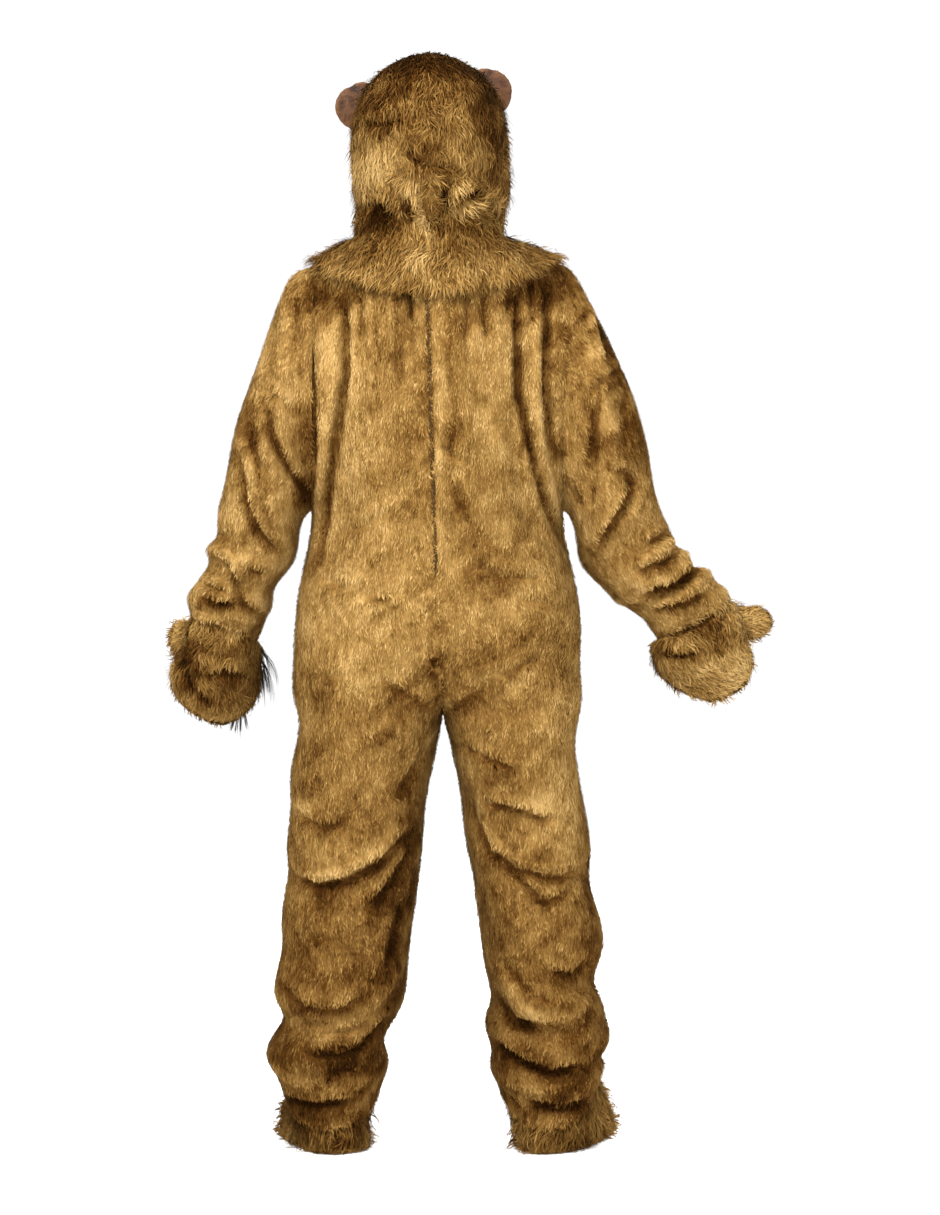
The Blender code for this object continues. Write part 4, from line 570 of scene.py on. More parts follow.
SLEEVE_FOLDS = [
    # The left sleeve, down to the rolls above its mitten.
    Fold(((251, 423), (258, 457), (267, 480)), -7, 9),
    Fold(((270, 405), (276, 440), (292, 470), (308, 492)), -10, 7),
    Fold(((264, 390), (285, 405), (307, 422)), -4, 6),
    Fold(((240, 455), (246, 500), (262, 535), (285, 558)), -9, 8),
    Fold(((265, 501), (274, 529), (288, 552)), -5, 7),
    Fold(((252, 490), (258, 512), (270, 537)), 4, 7),
    Fold(((272, 300), (276, 335), (272, 380)), -4, 9),
    Fold(((296, 290), (300, 350)), -4, 7),
    Fold(((212, 546), (233, 560), (242, 581)), 6, 6),
    Fold(((217, 554), (230, 566), (240, 582)), -8, 5),
    Fold(((195, 588), (207, 578), (231, 589)), 6, 6),
    Fold(((234, 574), (244, 604), (262, 615)), -6, 6),
    Fold(((251, 570), (267, 576)), -6, 8),
    Fold(((200, 581), (226, 590)), -6, 6),
    Fold(((200, 596), (216, 605), (235, 604)), -10, 6),
    Fold(((188, 612), (212, 618), (236, 614), (258, 620)), 5, 6),
    Fold(((196, 626), (214, 626), (226, 631)), -8, 5),
    # The right sleeve.
    Fold(((589, 304), (597, 345), (603, 379)), 4, 7),
    Fold(((597, 310), (608, 360)), -5, 8),
    Fold(((624, 364), (606, 380), (588, 394)), -7, 6),
    Fold(((612, 372), (600, 392)), 4, 6),
    Fold(((588, 410), (592, 440), (588, 465)), -7, 9),
    Fold(((601, 394), (610, 442), (609, 472)), 5, 7),
    Fold(((622, 400), (624, 450)), -4, 9),
    Fold(((560, 330), (562, 400)), -4, 8),
    Fold(((609, 474), (624, 474), (633, 487), (622, 509), (604, 536), (591, 559)), -8, 8),
    Fold(((616, 482), (622, 492), (612, 510), (600, 530)), 4, 6),
    Fold(((638, 484), (634, 508), (618, 532)), 4, 8),
    Fold(((570, 490), (579, 508)), -5, 6),
    Fold(((672, 529), (648, 544)), -8, 7),
    Fold(((674, 538), (658, 550), (642, 558)), 5, 7),
    Fold(((684, 546), (662, 562), (634, 572)), -9, 7),
    Fold(((690, 560), (664, 578), (636, 585)), 7, 7),
    Fold(((702, 562), (680, 584), (656, 592), (640, 600)), -11, 7),
    Fold(((704, 576), (682, 595), (655, 606)), 6, 7),
    Fold(((710, 590), (684, 604), (650, 611)), -9, 6),
    Fold(((612, 594), (624, 606), (641, 608)), -6, 5),
    Fold(((639, 574), (657, 586)), -5, 6),
]
HOOD_FOLDS = [
    Fold(((408, 207), (415, 225), (424, 246)), -8, 7),
    Fold(((412, 199), (430, 246)), 5, 8),
    Fold(((376, 206), (390, 222)), -9, 9),
    Fold(((450, 192), (445, 204), (448, 220)), -9, 6),
    Fold(((453, 216), (452, 202), (462, 193), (478, 196)), 7, 6),
    Fold(((468, 205), (482, 204)), -9, 5),
    Fold(((458, 219), (474, 214), (488, 206), (500, 214)), 7, 6),
    Fold(((398, 186), (412, 200)), 4, 8),
    Fold(((356, 205), (372, 212), (392, 208)), -5, 7),
    Fold(((361, 131), (383, 134), (404, 130)), -4, 8),
    Fold(((404, 158), (424, 176), (448, 178)), -4, 9),
]
MITTEN_FOLDS = [
    Fold(((180, 656), (187, 682), (205, 704)), -7, 7),
    Fold(((206, 674), (226, 670), (246, 674)), -7, 7),
    Fold(((205, 694), (219, 706)), -5, 6),
    Fold(((190, 650), (218, 662), (244, 660)), 4, 7),
    Fold(((710, 590), (684, 604), (650, 611)), -9, 6),
    Fold(((718, 600), (692, 614), (656, 621)), 6, 6),
    Fold(((716, 614), (692, 628), (664, 633)), -9, 6),
    Fold(((702, 574), (707, 598)), -5, 6),
    Fold(((651, 628), (670, 634), (690, 631)), -5, 6),
    Fold(((663, 652), (680, 655), (697, 652)), -7, 7),
    Fold(((728, 606), (719, 630)), -7, 7),
]
# Where the cloth stands fuller or slacker all round, in the same pixels and millimetres.
Puff = namedtuple("Puff", "column row half_wide half_high height")
PUFFS = [
    Puff(290, 272, 20, 16, 12),
    Puff(566, 272, 18, 14, 8),
    Puff(190, 597, 13, 11, 7),
    Puff(222, 536, 9, 6, -5),
    Puff(207, 549, 9, 6, 4),
    Puff(264, 602, 10, 14, 4),
    Puff(619, 600, 9, 8, 4),
    Puff(676, 543, 5, 4, -4),
    Puff(688, 552, 6, 5, 5),
    Puff(697, 563, 5, 4, -4),
    Puff(708, 572, 7, 6, 5),
    Puff(728, 590, 10, 8, 6),
    Puff(168, 662, 12, 26, 5),
    Puff(222, 722, 24, 9, 5),
    Puff(648, 655, 9, 24, -6),
    Puff(608, 1092, 16, 18, 14),
    Puff(372, 1142, 14, 18, 15),
    Puff(506, 1130, 12, 16, 13),
]
FACING_GAIN = 1.6
LIP_SHARE, LIP_AWAY, LIP_WIDTH = 0.5, 2.0, 0.9
FOLD_REACH = 4.0
SLOPE_STEP = 0.0015


def placed(column, row):
    """The metres across and up that a place in the photograph stands for."""
    return (ZERO_COLUMN - column) * PHOTO_SCALE, (ZERO_ROW - row) * PHOTO_SCALE


def nearest_on(line, flat):
    """Each point's distance from a line, how far above it lies, and its share of the way along."""
    runs = np.diff(line, axis=0)
    lengths = np.linalg.norm(runs, axis=1)
    near = np.full(len(flat), np.inf)
    above, share, passed = np.zeros(len(flat)), np.zeros(len(flat)), 0.0
    for start, run, length in zip(line, runs, lengths):
        held = np.clip((flat - start) @ run / length**2, 0.0, 1.0)
        off = flat - start - held[:, None] * run
        distance = np.hypot(off[:, 0], off[:, 1])
        closer = distance < near
        near = np.where(closer, distance, near)
        above = np.where(closer, off[:, 1], above)
        share = np.where(closer, (passed + held * length) / lengths.sum(), share)
        passed += length
    return near, above, share


def fold_height(folds, points):
    """The height of the folds at each point, as seen from behind or from the front."""
    total = np.zeros(len(points))
    flat = points[:, (0, 2)]
    for fold in folds:
        line = np.array([placed(*place) for place in fold.line])
        width = fold.width / 1000.0
        low, high = line.min(axis=0) - FOLD_REACH * width, line.max(axis=0) + FOLD_REACH * width
        held = np.nonzero(np.all((flat > low) & (flat < high), axis=1))[0]
        near, above, share = nearest_on(line, flat[held])
        fade = 0.3 + 0.7 * np.sin(0.5 * math.pi * np.clip(5.0 * np.minimum(share, 1.0 - share), 0.0, 1.0))
        shape = np.exp(-((near / width) ** 2))
        if fold.height < 0:
            up = 0.5 + 0.5 * above / np.maximum(near, 1e-6)
            shape -= LIP_SHARE * up * np.exp(-(((near / width - LIP_AWAY) / LIP_WIDTH) ** 2))
        total[held] += fold.height / 1000.0 * fade * shape
    return total


def folded(points, normals, behind, ahead):
    """How far the folds and puffs raise each point along its normal."""
    facing = np.clip(np.abs(normals[:, 1]) * FACING_GAIN, 0.0, 1.0)
    rise = facing * np.where(normals[:, 1] > 0.0, fold_height(behind, points), fold_height(ahead, points))
    for puff in PUFFS:
        x, z = placed(puff.column, puff.row)
        away = ((points[:, 0] - x) / puff.half_wide) ** 2 + ((points[:, 2] - z) / puff.half_high) ** 2
        rise += puff.height / 1000.0 * np.exp(-away / PHOTO_SCALE**2)
    return rise


def tilted(points, normals, behind, ahead):
    """The normals of the folded cloth."""
    slope = np.zeros_like(points)
    for axis in (0, 2):
        shift = np.zeros(3)
        shift[axis] = SLOPE_STEP
        above = folded(points + shift, normals, behind, ahead)
        below = folded(points - shift, normals, behind, ahead)
        slope[:, axis] = (above - below) / (2.0 * SLOPE_STEP)
    slope -= np.sum(slope * normals, axis=1)[:, None] * normals
    return unit(normals - slope)


# Where the pile is painted darker or lighter: from behind, from the front or on both, in the same pixels.
# Partly the nap's own tone where it lies pressed, partly painted shade in creases and painted highlights.
Patch = namedtuple("Patch", "side column row half_wide half_high tone")
BEHIND, AHEAD, ROUND = 1, -1, 0
NAP_AND_LIGHT_PATCHES = [
    # Hood and cape.
    Patch(BEHIND, 431, 72, 46, 20, -0.15),
    Patch(BEHIND, 400, 104, 36, 14, -0.06),
    Patch(BEHIND, 486, 108, 16, 40, -0.18),
    Patch(BEHIND, 375, 110, 20, 16, -0.08),
    Patch(BEHIND, 383, 130, 26, 5, -0.18),
    Patch(BEHIND, 376, 168, 24, 28, 0.24),
    Patch(BEHIND, 446, 97, 22, 9, 0.14),
    Patch(BEHIND, 398, 112, 18, 6, 0.08),
    Patch(BEHIND, 424, 160, 22, 14, -0.13),
    Patch(BEHIND, 466, 150, 18, 26, 0.11),
    Patch(BEHIND, 500, 160, 8, 40, -0.10),
    Patch(BEHIND, 405, 190, 8, 12, 0.12),
    Patch(BEHIND, 445, 206, 4, 12, -0.28),
    Patch(BEHIND, 476, 205, 8, 3.5, -0.24),
    Patch(BEHIND, 462, 198, 12, 5, 0.12),
    Patch(BEHIND, 464, 217, 12, 5, 0.13),
    Patch(BEHIND, 494, 210, 11, 6, 0.15),
    Patch(BEHIND, 460, 228, 18, 6, -0.14),
    Patch(BEHIND, 380, 213, 9, 10, -0.15),
    Patch(BEHIND, 418, 214, 6, 18, 0.16),
    Patch(BEHIND, 428, 238, 6, 14, 0.14),
    Patch(BEHIND, 388, 226, 22, 16, -0.17),
    Patch(BEHIND, 440, 232, 5, 16, -0.16),
    Patch(BEHIND, 350, 250, 16, 10, -0.06),
    Patch(BEHIND, 440, 272, 34, 20, 0.10),
    Patch(BEHIND, 478, 240, 18, 10, -0.10),
    Patch(BEHIND, 500, 262, 26, 12, 0.04),
    Patch(BEHIND, 520, 240, 20, 8, -0.08),
    Patch(AHEAD, 426, 80, 50, 20, -0.12),
    Patch(AHEAD, 426, 260, 60, 18, -0.06),
    # Shoulders and back.
    Patch(BEHIND, 304, 298, 34, 24, -0.21),
    Patch(BEHIND, 330, 302, 12, 14, -0.12),
    Patch(BEHIND, 372, 300, 34, 12, -0.10),
    Patch(BEHIND, 411, 308, 8, 18, -0.12),
    Patch(BEHIND, 395, 360, 20, 42, -0.11),
    # A dark line down the zip, painted shade where one side laps over, with a painted highlight beside it.
    Patch(BEHIND, 429, 370, 2.4, 80, -0.10),
    Patch(BEHIND, 433, 540, 2.4, 110, -0.09),
    Patch(BEHIND, 438, 680, 2.6, 40, -0.14),
    Patch(BEHIND, 442, 380, 5, 90, 0.05),
    Patch(BEHIND, 449, 330, 6, 60, -0.07),
    Patch(BEHIND, 463, 400, 14, 60, -0.07),
    Patch(BEHIND, 480, 310, 20, 20, -0.12),
    Patch(BEHIND, 530, 300, 26, 24, -0.19),
    Patch(BEHIND, 555, 285, 24, 22, -0.16),
    Patch(BEHIND, 512, 310, 10, 18, -0.12),
    Patch(BEHIND, 452, 490, 14, 14, -0.12),
    Patch(BEHIND, 478, 530, 22, 26, -0.10),
    Patch(BEHIND, 508, 575, 32, 16, -0.13),
    Patch(BEHIND, 312, 440, 8, 40, -0.13),
    Patch(BEHIND, 322, 545, 8, 24, -0.08),
    Patch(BEHIND, 384, 604, 14, 10, -0.12),
    Patch(BEHIND, 500, 650, 30, 20, -0.10),
    Patch(BEHIND, 462, 700, 22, 24, -0.12),
    Patch(BEHIND, 548, 640, 20, 40, -0.06),
    Patch(BEHIND, 320, 690, 22, 14, -0.10),
    Patch(BEHIND, 360, 640, 60, 60, 0.03),
    Patch(BEHIND, 365, 470, 24, 60, 0.06),
    Patch(BEHIND, 335, 380, 7, 80, 0.07),
    Patch(BEHIND, 355, 400, 7, 100, 0.07),
    Patch(BEHIND, 540, 400, 6, 70, 0.08),
    Patch(BEHIND, 470, 345, 8, 30, 0.07),
    Patch(BEHIND, 412, 440, 14, 30, -0.06),
    Patch(BEHIND, 470, 455, 12, 16, -0.08),
    Patch(BEHIND, 500, 500, 20, 10, 0.05),
    Patch(BEHIND, 545, 575, 24, 12, 0.06),
    Patch(BEHIND, 395, 690, 20, 14, -0.06),
    Patch(BEHIND, 490, 420, 16, 60, 0.04),
    Patch(BEHIND, 375, 720, 50, 20, -0.06),
    Patch(AHEAD, 437, 340, 120, 26, -0.12),
    Patch(AHEAD, 400, 470, 30, 60, -0.06),
    Patch(AHEAD, 490, 560, 40, 30, -0.08),
    Patch(AHEAD, 350, 640, 30, 26, -0.08),
    # Sleeves.
    Patch(ROUND, 612, 350, 12, 40, -0.17),
    Patch(ROUND, 632, 440, 16, 50, -0.15),
    Patch(BEHIND, 590, 435, 9, 26, -0.14),
    Patch(BEHIND, 575, 350, 14, 40, -0.05),
    Patch(ROUND, 560, 300, 20, 20, -0.08),
    Patch(ROUND, 240, 420, 14, 44, -0.13),
    Patch(BEHIND, 258, 440, 9, 40, -0.12),
    Patch(ROUND, 265, 330, 20, 40, 0.05),
    Patch(BEHIND, 268, 430, 34, 120, 0.045),
    Patch(BEHIND, 292, 400, 10, 40, 0.08),
    Patch(BEHIND, 260, 525, 12, 26, -0.12),
    Patch(BEHIND, 306, 437, 7, 20, -0.10),
    Patch(BEHIND, 310, 500, 8, 16, -0.25),
    Patch(BEHIND, 258, 573, 10, 8, -0.10),
    Patch(BEHIND, 222, 603, 30, 8, -0.12),
    Patch(BEHIND, 224, 592, 34, 36, -0.07),
    # Painted highlights on the rolls above the left cuff.
    Patch(BEHIND, 232, 560, 14, 6, 0.08),
    Patch(BEHIND, 262, 600, 10, 10, 0.08),
    Patch(BEHIND, 620, 500, 50, 110, -0.045),
    Patch(BEHIND, 672, 572, 26, 12, -0.05),
    Patch(BEHIND, 556, 452, 5, 8, -0.20),
    Patch(ROUND, 660, 560, 24, 20, -0.04),
    # Mittens.
    Patch(ROUND, 215, 650, 46, 20, -0.12),
    Patch(BEHIND, 185, 670, 10, 24, -0.14),
    Patch(BEHIND, 226, 676, 24, 7, -0.14),
    Patch(ROUND, 222, 690, 50, 40, -0.12),
    Patch(ROUND, 722, 630, 14, 16, -0.16),
    Patch(ROUND, 745, 634, 22, 7, -0.14),
    Patch(ROUND, 680, 652, 20, 6, -0.12),
    Patch(ROUND, 740, 665, 24, 24, 0.06),
    Patch(ROUND, 700, 660, 50, 44, 0.05),
    Patch(BEHIND, 658, 648, 14, 6, -0.10),
    Patch(BEHIND, 676, 655, 18, 5, -0.10),
    # Legs.
    Patch(BEHIND, 340, 960, 70, 80, -0.05),
    Patch(ROUND, 315, 780, 26, 24, -0.08),
    # Painted shade down the inner side of the left leg.
    Patch(ROUND, 410, 830, 14, 70, -0.14),
    Patch(ROUND, 398, 930, 12, 50, -0.12),
    Patch(BEHIND, 340, 850, 36, 20, 0.05),
    # Painted highlights: satin streaks above the creases of the left leg.
    Patch(BEHIND, 318, 868, 26, 5, 0.13),
    Patch(BEHIND, 386, 846, 22, 6, 0.11),
    Patch(BEHIND, 312, 800, 16, 8, 0.08),
    # Painted highlights: satin streaks on both legs.
    Patch(BEHIND, 345, 1008, 40, 6, 0.10),
    Patch(BEHIND, 330, 1068, 40, 6, 0.10),
    Patch(BEHIND, 540, 1002, 30, 6, 0.12),
    Patch(BEHIND, 556, 1044, 26, 5, 0.10),
    Patch(BEHIND, 572, 828, 12, 34, 0.08),
    Patch(ROUND, 345, 1055, 34, 16, -0.17),
    Patch(ROUND, 300, 1100, 40, 12, -0.08),
    Patch(BEHIND, 325, 1107, 40, 14, -0.10),
    Patch(ROUND, 300, 1130, 40, 24, -0.04),
    Patch(BEHIND, 370, 1135, 18, 20, -0.05),
    Patch(BEHIND, 510, 770, 26, 24, -0.10),
    Patch(BEHIND, 535, 800, 20, 18, 0.08),
    Patch(BEHIND, 535, 800, 44, 90, 0.035),
    Patch(BEHIND, 530, 850, 30, 12, -0.08),
    Patch(BEHIND, 560, 935, 26, 22, 0.04),
    Patch(BEHIND, 500, 940, 18, 34, -0.06),
    Patch(ROUND, 590, 830, 8, 50, -0.14),
    Patch(ROUND, 590, 950, 10, 40, -0.12),
    Patch(BEHIND, 545, 1050, 46, 16, -0.14),
    Patch(BEHIND, 560, 1095, 34, 10, -0.12),
    Patch(ROUND, 545, 1140, 50, 16, -0.05),
]
# The pile's tone by height: darker towards the feet and the crown, partly its own tone and partly painted shade.
TONE_AND_SHADE_DOWN = (
    (-1.466, 0.55), (-1.38, 0.46), (-1.27, 0.43), (-1.12, 0.53), (-0.95, 0.61), (-0.72, 0.69),
    (-0.50, 0.72), (-0.06, 0.69), (0.02, 0.56), (0.18, 0.56), (0.25, 0.44), (0.34, 0.20),
)
# Painted shade in the folds' troughs and painted highlight on their ridges, per metre of rise.
TROUGH_PAINTED_SHADE, RIDGE_PAINTED_HIGHLIGHT = 42.0, 30.0
PATCH_GAIN = 1.8
NAP_STREAK = np.array([1.0, 1.0, 0.16])
SPOT_STRETCH = np.array([0.8, 1.0, 1.4])


def tone_at(points, normals, rise):
    """How light the pile is, 0 to 1: nap patches, with painted shade in the folds and painted highlights."""
    heights, tones = zip(*TONE_AND_SHADE_DOWN)
    tone = np.interp(points[:, 2], heights, tones)
    tone += 0.065 * ripple(points, 0.11, 11) + 0.080 * ripple(points, 0.035, 12)
    tone += 0.055 * ripple(points * NAP_STREAK, 0.010, 14) + 0.055 * ripple(points, 0.013, 16)
    # Small spots where the pile is parted or pressed the other way.
    tone -= 0.30 * np.clip(ripple(points * SPOT_STRETCH, 0.017, 17) - 0.75, 0.0, 0.6)
    tone += 0.16 * np.clip(ripple(points * SPOT_STRETCH, 0.024, 18) - 0.75, 0.0, 0.6)
    uneven = np.maximum(1.0 + 0.7 * ripple(points, 0.05, 13) + 0.4 * ripple(points, 0.018, 15), 0.3)
    for patch in NAP_AND_LIGHT_PATCHES:
        x, z = placed(patch.column, patch.row)
        away = ((points[:, 0] - x) / patch.half_wide) ** 2 + ((points[:, 2] - z) / patch.half_high) ** 2
        shown = 1.0 if patch.side == ROUND else np.clip(patch.side * normals[:, 1] * 3.0 + 0.5, 0.0, 1.0)
        tone += PATCH_GAIN * patch.tone * shown * np.exp(-0.9 * away / PHOTO_SCALE**2 * uneven)
    # Painted shade down in the troughs of the folds, painted highlight on their ridges.
    tone += np.clip(rise, -0.010, 0.0) * TROUGH_PAINTED_SHADE + np.clip(rise, 0.0, 0.005) * RIDGE_PAINTED_HIGHLIGHT
    return tone


# Fur.

Fur = namedtuple("Fur", "per_m2 length width lift stray pull rings satin speckle finish")
SUIT_FUR = Fur(86000, 0.0112, 0.0021, 0.0024, 0.26, 0.6, 1, 0.66, 0.080, "fur")
HOOD_FUR = Fur(126000, 0.0240, 0.0021, 0.0052, 0.50, 0.4, 2, 0.50, 0.110, "long fur")
CAPE_FUR = Fur(124000, 0.0270, 0.0022, 0.0056, 0.42, 0.8, 2, 0.50, 0.095, "long fur")
MITTEN_FUR = Fur(130000, 0.0190, 0.0021, 0.0050, 0.50, 0.2, 2, 0.50, 0.085, "long fur")
SHOE_FUR = Fur(110000, 0.0250, 0.0023, 0.0085, 0.44, 0.3, 2, 0.50, 0.085, "long fur")
LENGTH_SPREAD, WIDTH_SPREAD, LIFT_SPREAD = (0.65, 1.25), (0.65, 1.30), (0.35, 1.15)
STANDING_SHARE, STANDING_LIFT = 0.12, 2.2
SWAY, TAPER = 0.12, 0.35
ROOT_DEPTH, BLADE_RISE, LOCK_OFF_FLOOR = 0.0008, 0.0010, 0.0004
COVER_REACH = 0.022
TONE_LIMITS = (0.02, 0.98)
BORDER_REACH = 0.010
EAR_CLEARANCE, SHORTEST = 0.026, 0.30
CROWN_Z, CROWN_DEPTH, CROWN_SHORTEST = 0.350, 0.060, 0.45


def down_body(points):
    """The suit's nap: outwards over the shoulders, and down everywhere else."""
    way = np.tile([0.0, 0.0, -1.0], (len(points), 1))
    way[:, 0] += 0.6 * np.clip((points[:, 2] + 0.06) / 0.08, 0.0, 1.0) * np.sign(points[:, 0])
    return way


def along(direction):
    def way(points):
        return np.tile(direction, (len(points), 1))

    return way


def over_head(points):
    """The hood's nap: from the crown down all round, with a curl above the neck."""
    way = points - np.array([0.012, 0.020, 0.340])
    way[:, 2] = -0.055
    way = unit(way)
    way[:, 2] -= 0.9
    curl = points - np.array([-0.060, 0.12, 0.096])
    near = np.exp(-((curl[:, 0] / 0.030) ** 2 + (curl[:, 2] / 0.026) ** 2)) * (points[:, 1] > 0.0)
    spin = np.stack([curl[:, 2], np.zeros(len(points)), -curl[:, 0]], axis=1) / 0.018
    return way * (1.0 - near)[:, None] + spin * near[:, None] * 1.6


def from_neck(points):
    way = points - np.array([0.010, 0.0, 0.0])
    way[:, 2] = -0.24
    return way


def down_foot(points):
    """The shoe covers' nap: down, and a little outwards."""
    way = np.zeros_like(points)
    way[:, 0] = np.where(points[:, 0] > 0.0, points[:, 0] - 0.168, points[:, 0] + 0.178)
    way[:, 1] = points[:, 1] + 0.02
    way[:, 2] = -0.16 * np.clip((points[:, 2] - FLOOR_Z) / 0.05, 0.15, 1.0)
    return way


def towards_border(skin, roots, pull):
    """The way from each root to the nearest cut edge of its skin, strong close to it and none further in."""
    shape = bmesh.new()
    shape.from_mesh(skin)
    edge_points = [(e.verts[0].co + e.verts[1].co) / 2 for e in shape.edges if e.is_boundary]
    edge_points += [v.co.copy() for v in shape.verts if v.is_boundary]
    shape.free()
    tree = KDTree(len(edge_points))
    for index, point in enumerate(edge_points):
        tree.insert(point, index)
    tree.balance()
    found = np.array([[*near, distance] for near, _, distance in map(tree.find, roots.tolist())])
    held = pull * np.exp(-((found[:, 3] / BORDER_REACH) ** 2))
    return unit(found[:, :3] - roots) * held[:, None]


def lock_shapes(roots, normals, way, fur, scale, rng):
    """The locks as bent blades: points, triangles, shading normals and places from root to tip."""
    count = len(roots)
    way = unit(way - np.sum(way * normals, axis=1)[:, None] * normals)
    side = np.cross(normals, way)
    turn = fur.stray * (
        rng.normal(size=count) * 0.55 + 0.8 * ripple(roots, 0.03, 21) + 0.5 * ripple(roots, 0.09, 22)
    )
    way, side = (
        np.cos(turn)[:, None] * way + np.sin(turn)[:, None] * side,
        np.cos(turn)[:, None] * side - np.sin(turn)[:, None] * way,
    )
    length = fur.length * rng.uniform(*LENGTH_SPREAD, count) * scale
    room = np.maximum(roots[:, 2] - FLOOR_Z - CLEAR_OF_FLOOR, 0.0) / np.maximum(-way[:, 2], 1e-3)
    length = np.maximum(np.minimum(length, room), SHORTEST * fur.length)
    width = fur.width * rng.uniform(*WIDTH_SPREAD, count)
    lift = fur.lift * rng.uniform(*LIFT_SPREAD, count) * (1.0 + 0.25 * ripple(roots, 0.025, 23)) * scale
    standing = STANDING_SHARE * (fur.rings - 1)
    lift = lift * np.where(rng.uniform(size=count) < standing, STANDING_LIFT, 1.0)
    sway = rng.normal(size=count) * SWAY * length
    start = roots - ROOT_DEPTH * normals
    round_off = 1.0 - fur.satin
    levels, shading, tips = [start[:, None]], [normals[:, None]], [0.0]
    for ring in range(1, fur.rings + 1):
        share = ring / (fur.rings + 1.0)
        middle = start + (length * share)[:, None] * way
        middle += (lift * math.sin(0.5 * math.pi * min(1.0, share * 1.5)) + BLADE_RISE)[:, None] * normals
        middle += (sway * share * share)[:, None] * side
        wide = width * (1.0 - TAPER * (ring - 1)) / 2.0
        for hand in (-1.0, 1.0):
            levels.append((middle + hand * wide[:, None] * side)[:, None])
            shading.append((normals + hand * round_off * side)[:, None])
            tips.append(share)
    end = start + length[:, None] * way + (0.75 * lift)[:, None] * normals + sway[:, None] * side
    levels.append(end[:, None])
    shading.append((normals + round_off * way)[:, None])
    tips.append(1.0)
    points = np.concatenate(levels, axis=1)
    last = 2 * fur.rings - 1
    order = [(0, 1, 2), (last, last + 2, last + 1)]
    for low in range(1, last, 2):
        order += [(low, low + 2, low + 3), (low, low + 3, low + 1)]
    faces = np.arange(count)[:, None, None] * len(tips) + np.array(order)[None]
    normals_here = unit(np.concatenate(shading, axis=1)).reshape(-1, 3)
    return points.reshape(-1, 3), faces.reshape(-1, 3), normals_here, np.tile(tips, count), len(tips)


def triangle_mesh(points, triangles):
    mesh = bpy.data.meshes.new("locks")
    mesh.vertices.add(len(points))
    mesh.vertices.foreach_set("co", np.asarray(points, np.float32).ravel())
    mesh.loops.add(3 * len(triangles))
    mesh.loops.foreach_set("vertex_index", np.asarray(triangles, np.int32).ravel())
    mesh.polygons.add(len(triangles))
    mesh.polygons.foreach_set("loop_start", np.arange(0, 3 * len(triangles), 3, dtype=np.int32))
    mesh.update(calc_edges=True)
    mesh.shade_smooth()
    return mesh


def areas_of(points, triangles):
    corners = points[triangles]
    return np.linalg.norm(np.cross(corners[:, 1] - corners[:, 0], corners[:, 2] - corners[:, 0]), axis=1) / 2


def sample(points, triangles, normals, count, rng):
    """Places spread over the triangles by their area, with their normals."""
    area = areas_of(points, triangles)
    # Even steps through the summed area keep the spread free of clumps and bare spots.
    steps = (np.arange(count) + rng.uniform(0.0, 1.0, count)) / count
    chosen = np.searchsorted(np.cumsum(area) / area.sum(), steps)
    chosen = np.minimum(chosen, len(triangles) - 1)
    u, v = rng.uniform(size=count), rng.uniform(size=count)
    over = u + v > 1.0
    u, v = np.where(over, 1.0 - u, u), np.where(over, 1.0 - v, v)
    shares = np.stack([1.0 - u - v, u, v], axis=1)[:, :, None]
    picked = triangles[chosen]
    return (points[picked] * shares).sum(axis=1), unit((normals[picked] * shares).sum(axis=1))


def bare(roots, normals, covers):
    """Which places aren't hidden just under one of the covering skins."""
    keep = np.ones(len(roots), bool)
    for tree in covers:
        for index in np.nonzero(keep)[0]:
            hit = tree.ray_cast(Vector(roots[index]), Vector(normals[index]), COVER_REACH)
            if hit[0] is not None:
                keep[index] = False
    return keep


def distance_to(tree, points):
    return np.array([tree.find_nearest(Vector(point))[3] for point in points])


def grow_fur(piece, skin, covers, ears, seed):
    """One joined mesh of locks, rooted over the whole of a skin as it lies before its folds."""
    fur = piece.fur
    points, triangles, normals = points_of(skin), triangles_of(skin), normals_of(skin)
    area = areas_of(points, triangles).sum()
    rng = np.random.default_rng(seed)
    count = int(area * fur.per_m2 * (1.0))
    roots, out = sample(points, triangles, normals, count, rng)
    keep = bare(roots, out, covers)
    roots, out = roots[keep], out[keep]
    way = unit(piece.way(roots)) + towards_border(skin, roots, fur.pull)
    rise = folded(roots, out, piece.behind, piece.ahead)
    facing = tilted(roots, out, piece.behind, piece.ahead)
    tone = tone_at(roots, out, rise) + rng.normal(size=len(roots)) * fur.speckle
    roots = roots + (rise - piece.pile)[:, None] * out
    scale = np.clip((CROWN_Z - roots[:, 2]) / CROWN_DEPTH, CROWN_SHORTEST, 1.0)
    for ear in ears:
        scale = np.minimum(scale, np.clip(distance_to(ear, roots) / EAR_CLEARANCE, SHORTEST, 1.0))
    locks, faces, shading, tip, each = lock_shapes(roots, facing, way, fur, scale, rng)
    locks[:, 2] = np.maximum(locks[:, 2], FLOOR_Z + LOCK_OFF_FLOOR * (1.0 + tip))
    mesh = triangle_mesh(locks, faces)
    set_attribute(mesh, "tone", np.repeat(np.clip(tone, *TONE_LIMITS), each))
    set_attribute(mesh, "tip", tip)
    mesh.normals_split_custom_set_from_vertices(shading.tolist())
    return add_piece(piece.node + "_fur", mesh, fur.finish)


# The plush pieces.

Plush = namedtuple("Plush", "node wall pile fur way behind ahead slot held width length area")
SKIN_LEVELS = 2
NO_FOLDS = []
DOWN_LEFT_ARM, DOWN_RIGHT_ARM = along((0.30, -0.06, -0.95)), along((-0.42, -0.07, -0.90))
DOWN_LEFT_HAND, DOWN_RIGHT_HAND = along((0.25, -0.10, -0.96)), along((-0.60, -0.10, -0.80))
ALONG_LEFT_THUMB, ALONG_RIGHT_THUMB = along((0.30, -0.80, -0.35)), along((-0.95, -0.10, 0.10))
